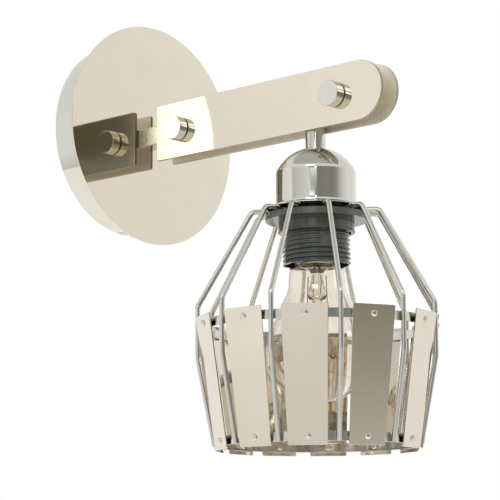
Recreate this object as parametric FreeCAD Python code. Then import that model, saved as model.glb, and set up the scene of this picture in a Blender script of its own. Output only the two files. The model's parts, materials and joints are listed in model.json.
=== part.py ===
import FreeCAD, Part
import math
import os

from FreeCAD import Vector

# Wall lamp. The origin is the centre of the canopy's back, on the wall.
# +Z is up, the arm runs along -Y, and all lengths are millimetres.

# Wall strap
strap_width = 20.0
strap_length = 118.0
strap_thickness = 1.5
strap_ear_length = 13.0
strap_slot_spacing = 80.0
strap_slot_length = 12.0
strap_slot_radius = 2.5
side_screw_radius = 2.0
side_screw_length = 7.5
side_screw_head_radius = 3.6
side_screw_head_height = 2.0
side_screw_depth = 8.0
screw_crown_share = 0.6
earth_screw_place = -24.0
earth_screw_radius = 2.0
earth_screw_head_radius = 3.8
earth_screw_head_height = 2.6
earth_washer_radius = 4.6
earth_washer_thickness = 0.8

# Canopy
canopy_radius = 61.5
canopy_depth = 24.0
canopy_wall = 1.0
canopy_edge_radius = 2.0
face_radius = 70.0
face_thickness = 1.0

# Terminal block
block_length = 27.0
block_height = 17.0
block_depth = 12.0
block_place = 13.0
block_way_spacing = 9.0
block_bore_radius = 1.9
block_screw_radius = 1.6
block_well_depth = 4.5
block_screw_shares = (0.25, 0.75)

# Arm
arm_drop = 1.8
bar_width = 35.0
bar_length = 180.2
bar_thickness = 2.0
bar_corner_radius = 1.5
bar_setback = 9.8
tube_width = 12.0
tube_height = 12.0
tube_wall = 1.2
tube_edge_radius = 0.6
tube_plug_length = 10.0
tube_overhang = 18.75
near_knob_inset = 20.1
far_knob_inset = 34.25

# Root fixing of the arm, inside the canopy
nipple_radius = 4.0
nipple_bore_radius = 2.9
nipple_length = 22.0
root_nut_width = 13.0
root_nut_height = 4.0
root_washer_radius = 9.0
root_washer_thickness = 1.2

# Knobs
knob_radius = 7.5
knob_cap_length = 6.3
knob_collar_radius = 6.2
knob_collar_length = 0.5
knob_edge = 0.4
stud_radius = 2.5
stud_reach = 1.6

# Stem
stem_to_far_knob = 21.75
stem_side_gap = 0.1
stem_bore_radius = 3.0
stem_drop = 23.0
spigot_radius = 5.0
spigot_length = 16.0

# Lamp cup
cup_radius = 22.7
cup_wall = 0.8
cup_straight = 20.1
cup_dome_rise = 12.7
cup_flat_radius = 8.3
dome_share = 0.7
dome_rise_share = 0.67
lock_nut_width = 14.0
lock_nut_height = 3.0

# Lampholder
holder_side_gap = 0.2
holder_wall = 1.8
holder_show = 1.2
holder_hub_radius = 8.0
holder_hub_height = 9.0
thread_radius = 19.75
thread_length = 33.4
skirt_wall = 2.15
skirt_neck_height = 8.0
insert_wall = 3.0
insert_floor = 4.0
insert_drop = 26.5
insert_sink = 1.6
shell_wall = 0.6
shell_length = 20.0
shell_top_gap = 2.0
contact_width = 7.0
contact_thickness = 0.6
contact_rise = 1.2
contact_reach = 8.0

# Retaining ring
ring_flange_radius = 29.7
ring_flange_thickness = 3.8
ring_hub_radius = 22.5
ring_hub_length = 7.2
ring_edge = 0.8
thread_play = 0.3

# Cage
cage_plate_radius = 29.5
cage_plate_thickness = 0.8
cage_plate_edge = 0.2
wire_radius = 1.5
wire_inner_reach = 22.9
wire_shoulder_reach = 37.5
wire_belly_reach = 69.0
wire_shoulder_to_belly = 55.2
wire_belly_run = 30.2
wire_lower_drop = 50.2
wire_shoulder_bend = 4.5
wire_belly_bend = 7.0
wire_knee_bend = 14.0
hoop_height = 5.3
hoop_wall = 0.8
belly_to_hoop = 9.2
lower_hoop_radius = 58.0

# Turns of the hand-set wires and plates about the lamp's upright axis, in degrees from +X towards +Y
wire_turns = (20, 50, 78.5, 106, 137, 170.5, 199, 231, 263.5, 295, 322, 350)
plate_turns = (5, 35, 64.5, 92.5, 121.5, 150.5, 184, 214.5, 247, 282, 308.5, 336)

# Mirror plates and rivets
plate_span_turn = 21.7
plate_thickness = 0.8
plate_rise = 2.4
plate_fall = 2.2
plate_corner_radius = 0.8
rivet_radius = 1.2
rivet_head_radius = 1.9
rivet_head_height = 1.1
rivet_tail_radius = 1.8
rivet_tail_height = 0.9
rivet_bore_radius = 0.6
rivet_flat_share = 0.25
rivet_bulge_share = 0.8

# Bulb
bulb_radius = 30.0
bulb_length = 106.0
bulb_wall = 0.8
bulb_neck_radius = 16.6
bulb_throat_radius = 16.2
bulb_shoulder_angle = 24.0
bulb_cap_radius = 13.1
bulb_cap_length = 25.0
bulb_cap_wall = 0.5
bulb_insulator_height = 5.0
bulb_insulator_radius = 9.0
bulb_contact_radius = 4.8
bulb_contact_height = 1.5
bulb_contact_share = 0.7
bulb_throat_drop = 3.0
bulb_root_tuck = 4.0
mount_tube_radius = 5.2
mount_tube_length = 15.5
mount_foot_height = 5.0
mount_rod_radius = 1.5
mount_rod_length = 36.0
filament_count = 4
filament_radius = 1.0
filament_length = 37.0
filament_top_spread = 6.2
filament_bottom_spread = 4.4
filament_first_turn = 18.0
filament_wire_radius = 0.35

# Leads
lead_radius = 1.0
lead_side = 1.15
lead_bend = 5.0

# Clearances and cutting
fit_clearance = 0.05
parallel_share = 0.01
contact_gap = 0.3
overrun = 2.0

# Places along the arm and down the lamp
X_AXIS = Vector(1, 0, 0)
Y_AXIS = Vector(0, 1, 0)
Z_AXIS = Vector(0, 0, 1)
face_y = -canopy_depth - face_thickness
bar_near_y = face_y - bar_setback
bar_far_y = bar_near_y - bar_length
near_knob_y = bar_near_y - near_knob_inset
far_knob_y = bar_far_y + far_knob_inset
stem_y = far_knob_y + stem_to_far_knob
arm_z = -arm_drop
bar_outer_x = tube_width / 2 + bar_thickness
stem_radius = tube_width / 2 - stem_side_gap
cup_top_z = arm_z - tube_height / 2 - stem_drop
cup_crease_z = cup_top_z - cup_dome_rise
cup_bottom_z = cup_crease_z - cup_straight
cup_inner_radius = cup_radius - cup_wall
holder_radius = cup_inner_radius - holder_side_gap
holder_top_z = cup_top_z - cup_wall - lock_nut_height
shoulder_z = cup_bottom_z - holder_show
skirt_bottom_z = shoulder_z - thread_length
skirt_inner_radius = thread_radius - skirt_wall
insert_radius = skirt_inner_radius - fit_clearance
insert_bore_radius = insert_radius - insert_wall
shell_radius = insert_bore_radius - fit_clearance
insert_top_z = shoulder_z - insert_sink
insert_floor_z = insert_top_z - insert_floor
contact_z = insert_floor_z - contact_thickness - contact_rise
cage_plate_z = shoulder_z - cage_plate_thickness
wire_top_z = cage_plate_z - wire_radius
flange_top_z = wire_top_z - wire_radius - fit_clearance
flange_low_z = flange_top_z - ring_flange_thickness
ring_low_z = flange_low_z - ring_hub_length
belly_top_z = wire_top_z - wire_shoulder_to_belly
belly_low_z = belly_top_z - wire_belly_run
wire_foot_z = belly_low_z - wire_lower_drop
upper_hoop_radius = wire_belly_reach - wire_radius
upper_hoop_top_z = belly_top_z - belly_to_hoop
upper_hoop_low_z = upper_hoop_top_z - hoop_height
lower_hoop_low_z = wire_foot_z
plate_tilt = math.atan2(upper_hoop_radius - lower_hoop_radius, upper_hoop_low_z - lower_hoop_low_z)
bulb_tip_z = contact_z - contact_gap
bulb_crown_z = bulb_tip_z - bulb_length
bulb_rim_z = bulb_tip_z - bulb_cap_length
bulb_root_radius = bulb_cap_radius - bulb_cap_wall - fit_clearance
mount_tube_top_z = bulb_rim_z - mount_foot_height
mount_tube_low_z = mount_tube_top_z - mount_tube_length


def lathe(points, centre, axis):
    """Solid turned from points given as (radius, height along the axis) about a line through centre."""
    side = Y_AXIS if axis.dot(X_AXIS) else X_AXIS
    corners = [centre + side * r + axis * h for r, h in points]
    outline = Part.makePolygon(corners + [corners[0]])
    return Part.Face(outline).revolve(centre, axis, 360)


def lathe_edges(edges, centre, axis):
    """Solid turned from a closed run of edges about a line through centre."""
    return Part.Face(Part.Wire(Part.__sortEdges__(edges))).revolve(centre, axis, 360)


def rod(radius, start, end):
    """Round bar between two points."""
    return Part.makeCylinder(radius, (end - start).Length, start, end - start)


def block(low, high):
    """Box between its lowest and highest corners."""
    size = high - low
    return Part.makeBox(size.x, size.y, size.z, low)


def hexagon(width, height, centre, axis, spin_from):
    """Hexagonal prism, width across flats, standing on centre along the axis."""
    corner_radius = width / math.sqrt(3)
    other = axis.cross(spin_from)
    corners = []
    for k in range(7):
        angle = math.radians(60 * k)
        corners.append(centre + (spin_from * math.cos(angle) + other * math.sin(angle)) * corner_radius)
    return Part.Face(Part.makePolygon(corners)).extrude(axis * height)


def edge_runs_along(edge, axis):
    """Whether a straight edge is parallel to an axis."""
    direction = edge.tangentAt(edge.FirstParameter)
    return direction.cross(axis).Length < parallel_share


def rounded_path(corners, bends):
    """Straight runs through the corners, each inner corner rounded by its bend radius."""
    edges = []
    start = corners[0]
    for i, bend in enumerate(bends):
        corner = corners[i + 1]
        incoming = (corner - corners[i]).normalize()
        outgoing = (corners[i + 2] - corner).normalize()
        half_turn = incoming.getAngle(outgoing) / 2
        reach = bend * math.tan(half_turn)
        arc_start = corner - incoming * reach
        arc_end = corner + outgoing * reach
        inward = (outgoing - incoming).normalize()
        arc_middle = corner + inward * (bend / math.cos(half_turn) - bend)
        edges.append(Part.LineSegment(start, arc_start).toShape())
        edges.append(Part.Arc(arc_start, arc_middle, arc_end).toShape())
        start = arc_end
    edges.append(Part.LineSegment(start, corners[-1]).toShape())
    return Part.Wire(edges)


def swept_rod(radius, corners, bends):
    """Round rod bent along a rounded path."""
    path = rounded_path(corners, bends)
    section = Part.Wire(Part.makeCircle(radius, corners[0], corners[1] - corners[0]))
    return path.makePipeShell([section], True, False)


def lamp_point(reach, z, turn):
    """Point at a distance from the lamp's upright axis, at a height and a turn in degrees."""
    angle = math.radians(turn)
    return Vector(reach * math.cos(angle), stem_y + reach * math.sin(angle), z)


def save(name, shape):
    """Write one sub-part."""
    shape.exportStep("parts/" + name + ".step")


def make_wall_strap():
    """Flat strap on the wall with two slots and a bent ear at each end for the side screws."""
    half_width = strap_width / 2
    half_length = strap_length / 2
    strap = block(Vector(-half_width, -strap_thickness, -half_length), Vector(half_width, 0, half_length))
    for end in (-1, 1):
        outer = end * half_length
        inner = end * (half_length - strap_thickness)
        ear = block(Vector(-half_width, -strap_ear_length, min(outer, inner)),
                    Vector(half_width, 0, max(outer, inner)))
        strap = strap.fuse(ear)
        screw_hole = rod(side_screw_radius + fit_clearance, Vector(0, -side_screw_depth, 0),
                         Vector(0, -side_screw_depth, end * (half_length + overrun)))
        strap = strap.cut(screw_hole)
        slot_z = end * strap_slot_spacing / 2
        slot_half = strap_slot_length / 2 - strap_slot_radius
        low = Vector(0, -strap_thickness - overrun, slot_z - slot_half)
        high = Vector(0, -strap_thickness - overrun, slot_z + slot_half)
        through = Y_AXIS * (strap_thickness + overrun * 2)
        slot = rod(strap_slot_radius, low, low + through).fuse(rod(strap_slot_radius, high, high + through))
        slot = slot.fuse(block(low - X_AXIS * strap_slot_radius, high + X_AXIS * strap_slot_radius + through))
        strap = strap.cut(slot)
    earth_hole = rod(earth_screw_radius + fit_clearance,
                     Vector(0, -strap_thickness - overrun, earth_screw_place),
                     Vector(0, overrun, earth_screw_place))
    return strap.cut(earth_hole).removeSplitter()


def make_strap_screws():
    """Earth screw on the strap, and two pan-head screws through the canopy's rim into the strap's ears."""
    screws = [make_earth_terminal()]
    for end in (-1, 1):
        axis = Z_AXIS * end
        seat = Vector(0, -side_screw_depth, end * canopy_radius)
        head = [(0, 0), (side_screw_head_radius, 0),
                (side_screw_head_radius, side_screw_head_height / 2),
                (side_screw_head_radius * screw_crown_share, side_screw_head_height),
                (0, side_screw_head_height)]
        head_solid = lathe(head, seat, axis)
        shank = rod(side_screw_radius, seat - axis * side_screw_length,
                    seat + axis * side_screw_head_height / 2)
        screws.append(head_solid.fuse(shank).removeSplitter())
    return Part.Compound(screws)


def make_earth_terminal():
    """Earth screw and its cup washer on the strap."""
    seat = Vector(0, -strap_thickness, earth_screw_place)
    outward = -Y_AXIS
    washer = rod(earth_washer_radius, seat, seat + outward * earth_washer_thickness)
    head_seat = seat + outward * earth_washer_thickness
    head = rod(earth_screw_head_radius, head_seat, head_seat + outward * earth_screw_head_height)
    shank = rod(earth_screw_radius, seat + Y_AXIS * strap_thickness, head_seat)
    return washer.fuse(head).fuse(shank).removeSplitter()


def make_canopy_cup():
    """Round cup, open towards the wall, with a rounded front edge."""
    outer = rod(canopy_radius, Vector(0, 0, 0), Vector(0, -canopy_depth, 0))
    front_edges = [e for e in outer.Edges
                   if abs(e.CenterOfMass.y + canopy_depth) < canopy_wall / 2 and len(e.Vertexes) == 1]
    outer = outer.makeFillet(canopy_edge_radius, front_edges)
    inner = rod(canopy_radius - canopy_wall, Vector(0, overrun, 0), Vector(0, -canopy_depth + canopy_wall, 0))
    cup = outer.cut(inner)
    hole = rod(nipple_radius + fit_clearance, Vector(0, -canopy_depth - overrun, arm_z), Vector(0, 0, arm_z))
    cup = cup.cut(hole)
    screw_hole = rod(side_screw_radius + fit_clearance,
                     Vector(0, -side_screw_depth, -canopy_radius - overrun),
                     Vector(0, -side_screw_depth, canopy_radius + overrun))
    return cup.cut(screw_hole)


def make_face_disc():
    """Mirror disc that covers the canopy and stands proud of it all round."""
    disc = rod(face_radius, Vector(0, -canopy_depth, 0), Vector(0, face_y, 0))
    hole = rod(nipple_radius + fit_clearance, Vector(0, -canopy_depth + overrun, arm_z),
               Vector(0, face_y - overrun, arm_z))
    return disc.cut(hole)


def make_terminal_block():
    """Three-way terminal block on the strap, with wire bores and screw wells."""
    low = Vector(-block_length / 2, -strap_thickness - block_depth, block_place)
    high = Vector(block_length / 2, -strap_thickness, block_place + block_height)
    body = block(low, high)
    bore_y = -strap_thickness - block_depth / 2
    for way in (-1, 0, 1):
        x = way * block_way_spacing
        bore = rod(block_bore_radius, Vector(x, bore_y, block_place - overrun),
                   Vector(x, bore_y, block_place + block_height + overrun))
        body = body.cut(bore)
        for share in block_screw_shares:
            z = block_place + block_height * share
            well = rod(block_screw_radius, Vector(x, low.y - overrun, z),
                       Vector(x, low.y + block_well_depth, z))
            body = body.cut(well)
    return body


def make_root_nipple():
    """Hollow threaded nipple that ties the arm's plug to the canopy."""
    inner_end = face_y - tube_plug_length
    start = Vector(0, inner_end, arm_z)
    end = Vector(0, inner_end + nipple_length, arm_z)
    tube = rod(nipple_radius, start, end)
    return tube.cut(rod(nipple_bore_radius, start - Y_AXIS * overrun, end + Y_AXIS * overrun))


def make_root_washer():
    """Flat washer behind the canopy's front wall, under the root nut."""
    seat = Vector(0, -canopy_depth + canopy_wall, arm_z)
    washer = rod(root_washer_radius, seat, seat + Y_AXIS * root_washer_thickness)
    bore = rod(nipple_radius + fit_clearance, seat - Y_AXIS * overrun,
               seat + Y_AXIS * (root_washer_thickness + overrun))
    return washer.cut(bore)


def make_root_nut():
    """Hexagonal nut, with its washer, that pulls the arm tight against the face disc."""
    seat = Vector(0, -canopy_depth + canopy_wall + root_washer_thickness, arm_z)
    nut = hexagon(root_nut_width, root_nut_height, seat, Y_AXIS, Z_AXIS)
    bore = rod(nipple_radius + fit_clearance, seat - Y_AXIS * overrun,
               seat + Y_AXIS * (root_nut_height + overrun))
    return Part.Compound([nut.cut(bore), make_root_washer()])


def make_arm_tube():
    """Rectangular tube between the bars, plugged at the canopy end, holed for studs and stem."""
    end_y = far_knob_y - tube_overhang
    half_width = tube_width / 2
    half_height = tube_height / 2
    outer = block(Vector(-half_width, end_y, arm_z - half_height),
                  Vector(half_width, face_y, arm_z + half_height))
    long_edges = [e for e in outer.Edges if edge_runs_along(e, Y_AXIS)]
    outer = outer.makeFillet(tube_edge_radius, long_edges)
    inner = block(Vector(-half_width + tube_wall, end_y + tube_wall, arm_z - half_height + tube_wall),
                  Vector(half_width - tube_wall, face_y - tube_plug_length, arm_z + half_height - tube_wall))
    tube = outer.cut(inner)
    plug_bore = rod(nipple_radius + fit_clearance, Vector(0, face_y + overrun, arm_z),
                    Vector(0, face_y - tube_plug_length, arm_z))
    tube = tube.cut(plug_bore)
    for y in (near_knob_y, far_knob_y):
        stud_hole = rod(stud_radius + fit_clearance, Vector(-half_width - overrun, y, arm_z),
                        Vector(half_width + overrun, y, arm_z))
        tube = tube.cut(stud_hole)
    stem_hole = rod(stem_bore_radius, Vector(0, stem_y, arm_z),
                    Vector(0, stem_y, arm_z - half_height - overrun))
    return tube.cut(stem_hole)


def make_bar(side):
    """Flat bar with a square canopy end and a full round at the far end, on one side of the tube."""
    inner_x = side * tube_width / 2
    half_width = bar_width / 2
    round_y = bar_far_y + half_width
    corner_near_low = Vector(inner_x, bar_near_y, arm_z - half_width)
    corner_near_high = Vector(inner_x, bar_near_y, arm_z + half_width)
    round_low = Vector(inner_x, round_y, arm_z - half_width)
    round_high = Vector(inner_x, round_y, arm_z + half_width)
    round_tip = Vector(inner_x, bar_far_y, arm_z)
    edges = [Part.LineSegment(round_low, corner_near_low).toShape(),
             Part.LineSegment(corner_near_low, corner_near_high).toShape(),
             Part.LineSegment(corner_near_high, round_high).toShape(),
             Part.Arc(round_high, round_tip, round_low).toShape()]
    bar = Part.Face(Part.Wire(edges)).extrude(X_AXIS * side * bar_thickness)
    near_corners = [e for e in bar.Edges
                    if abs(e.CenterOfMass.y - bar_near_y) < fit_clearance and edge_runs_along(e, X_AXIS)]
    bar = bar.makeFillet(bar_corner_radius, near_corners)
    for y in (near_knob_y, far_knob_y):
        hole = rod(stud_radius + fit_clearance, Vector(inner_x - side * overrun, y, arm_z),
                   Vector(side * (bar_outer_x + overrun), y, arm_z))
        bar = bar.cut(hole)
    return bar


def make_knob_collars():
    """The four thin collars that hold the knob caps off the bars."""
    collars = []
    for side in (-1, 1):
        for y in (near_knob_y, far_knob_y):
            seat = Vector(side * bar_outer_x, y, arm_z)
            bore_radius = stud_radius + fit_clearance
            profile = [(bore_radius, 0), (knob_collar_radius, 0), (knob_collar_radius, knob_collar_length),
                       (bore_radius, knob_collar_length)]
            collars.append(lathe(profile, seat, X_AXIS * side))
    return Part.Compound(collars)


def make_knob(side, y):
    """Turned cap with the stud that screws through collar and bar into the tube."""
    seat = Vector(side * (bar_outer_x + knob_collar_length), y, arm_z)
    stud_depth = knob_collar_length + bar_thickness + tube_wall + stud_reach
    profile = [(0, -stud_depth), (stud_radius, -stud_depth), (stud_radius, 0), (knob_radius - knob_edge, 0),
               (knob_radius, knob_edge), (knob_radius, knob_cap_length - knob_edge),
               (knob_radius - knob_edge, knob_cap_length), (0, knob_cap_length)]
    return lathe(profile, seat, X_AXIS * side)


def make_stem():
    """Turned stem under the tube, with a bore for the leads and a spigot for cup and lampholder."""
    top = arm_z - tube_height / 2
    spigot_end = cup_top_z - spigot_length
    profile = [(stem_bore_radius, top), (stem_radius, top), (stem_radius, cup_top_z),
               (spigot_radius, cup_top_z), (spigot_radius, spigot_end), (stem_bore_radius, spigot_end)]
    return lathe(profile, Vector(0, stem_y, 0), Z_AXIS)


def cup_line(radius, top):
    """Edges of one side of the cup's wall: straight side, domed shoulder and flat top to the hole."""
    side_low = Vector(radius, 0, cup_bottom_z)
    crease = Vector(radius, 0, cup_crease_z)
    middle = Vector(radius * dome_share, 0, cup_crease_z + (top - cup_crease_z) * dome_rise_share)
    flat_edge = Vector(cup_flat_radius, 0, top)
    hole_edge = Vector(spigot_radius + fit_clearance, 0, top)
    edges = [Part.LineSegment(side_low, crease).toShape(), Part.Arc(crease, middle, flat_edge).toShape(),
             Part.LineSegment(flat_edge, hole_edge).toShape()]
    return edges, side_low, hole_edge


def make_lamp_cup():
    """Spun cup with a domed top that hides the lampholder."""
    outer_edges, outer_low, outer_hole = cup_line(cup_radius, cup_top_z)
    inner_edges, inner_low, inner_hole = cup_line(cup_inner_radius, cup_top_z - cup_wall)
    edges = outer_edges + inner_edges
    edges.append(Part.LineSegment(outer_low, inner_low).toShape())
    edges.append(Part.LineSegment(outer_hole, inner_hole).toShape())
    cup = lathe_edges(edges, Vector(0, 0, 0), Z_AXIS)
    return cup.translated(Vector(0, stem_y, 0))


def make_lock_nut():
    """Thin nut on the spigot that clamps the cup against the stem."""
    seat = Vector(0, stem_y, cup_top_z - cup_wall)
    nut = hexagon(lock_nut_width, lock_nut_height, seat, -Z_AXIS, X_AXIS)
    bore = rod(spigot_radius + fit_clearance, seat + Z_AXIS * overrun,
               seat - Z_AXIS * (lock_nut_height + overrun))
    return nut.cut(bore)


def make_holder_cap():
    """Upper half of the lampholder, screwed on the spigot; its lower edge is the shoulder over the cage."""
    bore = spigot_radius + fit_clearance
    chamber = holder_radius - holder_wall
    roof = holder_top_z - holder_wall
    rounding = cup_dome_rise - lock_nut_height
    hub_end = holder_top_z - holder_hub_height
    profile = [(bore, holder_top_z), (holder_hub_radius, holder_top_z),
               (holder_radius, holder_top_z - rounding), (holder_radius, shoulder_z), (chamber, shoulder_z),
               (chamber, roof - rounding), (holder_hub_radius, roof), (holder_hub_radius, hub_end),
               (bore, hub_end)]
    return lathe(profile, Vector(0, stem_y, 0), Z_AXIS)


def make_holder_skirt():
    """Lower half of the lampholder: neck inside the cap, then the threaded skirt, open at the bottom."""
    neck_radius = holder_radius - holder_wall - fit_clearance
    neck_top_z = shoulder_z + skirt_neck_height
    profile = [(skirt_inner_radius, neck_top_z), (neck_radius, neck_top_z), (neck_radius, shoulder_z),
               (thread_radius, shoulder_z), (thread_radius, skirt_bottom_z),
               (skirt_inner_radius, skirt_bottom_z)]
    return lathe(profile, Vector(0, stem_y, 0), Z_AXIS)


def make_holder_insert():
    """Insulating insert: a floor with the lead holes and a sleeve round the screw shell."""
    sleeve_end = insert_top_z - insert_drop
    profile = [(0, insert_top_z), (insert_radius, insert_top_z), (insert_radius, sleeve_end),
               (insert_bore_radius, sleeve_end), (insert_bore_radius, insert_floor_z), (0, insert_floor_z)]
    insert = lathe(profile, Vector(0, stem_y, 0), Z_AXIS)
    for side in (-1, 1):
        foot = Vector(side * insert_bore_radius / 2, stem_y, insert_floor_z)
        hole = rod(lead_radius + fit_clearance, foot + Z_AXIS * insert_floor / 2,
                   foot + Z_AXIS * (insert_floor + overrun))
        insert = insert.cut(hole)
    return insert


def make_screw_shell():
    """Brass shell that the bulb's cap screws into."""
    top = insert_floor_z - shell_top_gap
    profile = [(shell_radius - shell_wall, top), (shell_radius, top), (shell_radius, top - shell_length),
               (shell_radius - shell_wall, top - shell_length)]
    return lathe(profile, Vector(0, stem_y, 0), Z_AXIS)


def make_centre_contact():
    """Brass tongue under the insert's floor that meets the bulb's tip."""
    half_width = contact_width / 2
    anchor_x = contact_reach
    pad_x = -contact_width / 2
    floor = insert_floor_z
    low = contact_z + contact_thickness
    ramp = contact_rise * 2
    outline = [Vector(anchor_x, 0, floor), Vector(pad_x + contact_width + ramp, 0, floor),
               Vector(pad_x + contact_width, 0, low), Vector(pad_x, 0, low), Vector(pad_x, 0, contact_z),
               Vector(pad_x + contact_width, 0, contact_z),
               Vector(pad_x + contact_width + ramp, 0, floor - contact_thickness),
               Vector(anchor_x, 0, floor - contact_thickness)]
    face = Part.Face(Part.makePolygon(outline + [outline[0]]))
    return face.extrude(Y_AXIS * contact_width).translated(Vector(0, stem_y - half_width, 0))


def make_retaining_ring():
    """Moulded ring on the skirt's thread: a wide flange up under the wires and a hub to grip."""
    bore = thread_radius + thread_play
    flange_inner = ring_flange_radius - ring_edge / 2
    profile = [(bore, flange_top_z), (flange_inner, flange_top_z),
               (ring_flange_radius, flange_top_z - ring_edge / 2),
               (ring_flange_radius, flange_low_z + ring_edge / 2), (flange_inner, flange_low_z),
               (ring_hub_radius, flange_low_z), (ring_hub_radius, ring_low_z + ring_edge),
               (ring_hub_radius - ring_edge, ring_low_z), (bore, ring_low_z)]
    return lathe(profile, Vector(0, stem_y, 0), Z_AXIS)


def make_cage_plate():
    """Flat ring between the holder's shoulder and the retaining ring; the wires are welded under it."""
    bore = thread_radius + thread_play
    inner_edge = cage_plate_radius - cage_plate_edge
    profile = [(bore, shoulder_z), (inner_edge, shoulder_z), (cage_plate_radius, shoulder_z - cage_plate_edge),
               (cage_plate_radius, cage_plate_z + cage_plate_edge), (inner_edge, cage_plate_z),
               (bore, cage_plate_z)]
    return lathe(profile, Vector(0, stem_y, 0), Z_AXIS)


def make_cage_wire(turn):
    """One bent wire: out under the plate, down to the belly, straight down, then in to the lower hoop."""
    lean = math.atan2(wire_belly_reach - wire_radius - lower_hoop_radius, wire_lower_drop)
    foot_reach = lower_hoop_radius + wire_radius / math.cos(lean)
    places = [(wire_inner_reach, wire_top_z), (wire_shoulder_reach, wire_top_z),
              (wire_belly_reach, belly_top_z), (wire_belly_reach, belly_low_z), (foot_reach, wire_foot_z)]
    corners = [lamp_point(reach, z, turn) for reach, z in places]
    return swept_rod(wire_radius, corners, [wire_shoulder_bend, wire_belly_bend, wire_knee_bend])


def rivet_frame(turn, hoop_low_z):
    """Place and outward direction of a rivet at the middle height of a hoop."""
    height = hoop_low_z + hoop_height / 2
    reach = lower_hoop_radius + (height - lower_hoop_low_z) * math.tan(plate_tilt)
    angle = math.radians(turn)
    radial = Vector(math.cos(angle), math.sin(angle), 0)
    outward = radial * math.cos(plate_tilt) - Z_AXIS * math.sin(plate_tilt)
    return lamp_point(reach, height, turn), outward


def make_hoop(radius, low_z):
    """Flat hoop inside the wires, with a rivet hole behind each plate."""
    profile = [(radius - hoop_wall, low_z), (radius, low_z), (radius, low_z + hoop_height),
               (radius - hoop_wall, low_z + hoop_height)]
    hoop = lathe(profile, Vector(0, stem_y, 0), Z_AXIS)
    for turn in plate_turns:
        place, outward = rivet_frame(turn, low_z)
        hoop = hoop.cut(rod(rivet_radius + fit_clearance, place - outward * overrun * 2,
                            place + outward * overrun))
    return hoop


def make_plate(turn):
    """Flat mirror plate, wider at the top, lying on both hoops between two wires."""
    angle = math.radians(turn)
    radial = Vector(math.cos(angle), math.sin(angle), 0)
    along = Vector(-math.sin(angle), math.cos(angle), 0)
    outward = radial * math.cos(plate_tilt) - Z_AXIS * math.sin(plate_tilt)
    top_z = upper_hoop_top_z + plate_rise
    bottom_z = lower_hoop_low_z - plate_fall
    top_reach = lower_hoop_radius + (top_z - lower_hoop_low_z) * math.tan(plate_tilt)
    bottom_reach = lower_hoop_radius + (bottom_z - lower_hoop_low_z) * math.tan(plate_tilt)
    top = lamp_point(top_reach, top_z, turn)
    bottom = lamp_point(bottom_reach, bottom_z, turn)
    half_span = math.sin(math.radians(plate_span_turn / 2))
    corners = [top - along * top_reach * half_span, top + along * top_reach * half_span,
               bottom + along * bottom_reach * half_span, bottom - along * bottom_reach * half_span]
    plate = Part.Face(Part.makePolygon(corners + [corners[0]])).extrude(outward * plate_thickness)
    short_edges = [e for e in plate.Edges if abs(e.Length - plate_thickness) < fit_clearance]
    plate = plate.makeFillet(plate_corner_radius, short_edges)
    for hoop_low_z in (upper_hoop_low_z, lower_hoop_low_z):
        place, normal = rivet_frame(turn, hoop_low_z)
        plate = plate.cut(rod(rivet_radius + fit_clearance, place - normal * overrun,
                              place + normal * overrun))
    return plate


def make_rivets(hoop_low_z):
    """Hollow rivets of one hoop, each with a domed head outside and a rolled tail inside."""
    rivets = []
    slack = (hoop_height / 2 + rivet_tail_radius) * math.tan(plate_tilt) + fit_clearance * 2
    grip = hoop_wall / math.cos(plate_tilt) + slack
    for turn in plate_turns:
        place, outward = rivet_frame(turn, hoop_low_z)
        side = Vector(-outward.y, outward.x, 0).normalize()
        seat = place + outward * plate_thickness
        head_top = seat + outward * rivet_head_height
        head_edge = seat + side * rivet_head_radius
        bulge = seat + (side * rivet_head_radius + outward * rivet_head_height) * rivet_bulge_share
        flat_edge = head_top + side * rivet_head_radius * rivet_flat_share
        tail_near = place - outward * grip
        tail_far = tail_near - outward * rivet_tail_height
        corners = [head_edge, seat + side * rivet_radius, tail_near + side * rivet_radius,
                   tail_near + side * rivet_tail_radius, tail_far + side * rivet_tail_radius,
                   tail_far + side * rivet_bore_radius, place + side * rivet_bore_radius, place, head_top,
                   flat_edge]
        edges = [Part.LineSegment(a, b).toShape() for a, b in zip(corners, corners[1:])]
        edges.append(Part.Arc(flat_edge, bulge, head_edge).toShape())
        rivets.append(Part.Face(Part.Wire(edges)).revolve(seat, outward, 360))
    return Part.Compound(rivets)


def bulb_profile(inset):
    """Half outline of the glass, moved inwards by inset, from the crown up to the root of the neck."""
    radius = bulb_radius - inset
    neck = bulb_neck_radius - inset
    throat = bulb_throat_radius - inset
    root = bulb_root_radius - inset
    angle = math.radians(bulb_shoulder_angle)
    centre_z = bulb_crown_z + bulb_radius
    crown = Vector(0, 0, centre_z - radius)
    lower = Vector(radius * math.cos(math.pi / 6), 0, centre_z - radius * math.sin(math.pi / 6))
    shoulder = Vector(radius * math.cos(angle), 0, centre_z + radius * math.sin(angle))
    run = (radius * math.cos(angle) - neck) / math.sin(angle)
    neck_corner = shoulder + Vector(-run * math.sin(angle), 0, run * math.cos(angle))
    throat_corner = Vector(throat, 0, bulb_rim_z - bulb_throat_drop)
    root_corner = Vector(root, 0, bulb_rim_z)
    root_end = Vector(root, 0, bulb_rim_z + bulb_root_tuck)
    globe = Part.Arc(crown, lower, shoulder).toShape()
    upper = rounded_path([shoulder, neck_corner, throat_corner, root_corner, root_end],
                         [bulb_neck_radius, bulb_throat_drop / 2, bulb_throat_drop / 4])
    return [globe] + list(upper.Edges), crown, root_end


def make_bulb_glass():
    """Hollow glass envelope, open only inside the cap."""
    outer_edges, outer_crown, outer_root = bulb_profile(0)
    inner_edges, inner_crown, inner_root = bulb_profile(bulb_wall)
    edges = outer_edges + inner_edges
    edges.append(Part.LineSegment(outer_crown, inner_crown).toShape())
    edges.append(Part.LineSegment(outer_root, inner_root).toShape())
    glass = lathe_edges(edges, Vector(0, 0, 0), Z_AXIS)
    return glass.translated(Vector(0, stem_y, 0))


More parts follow.
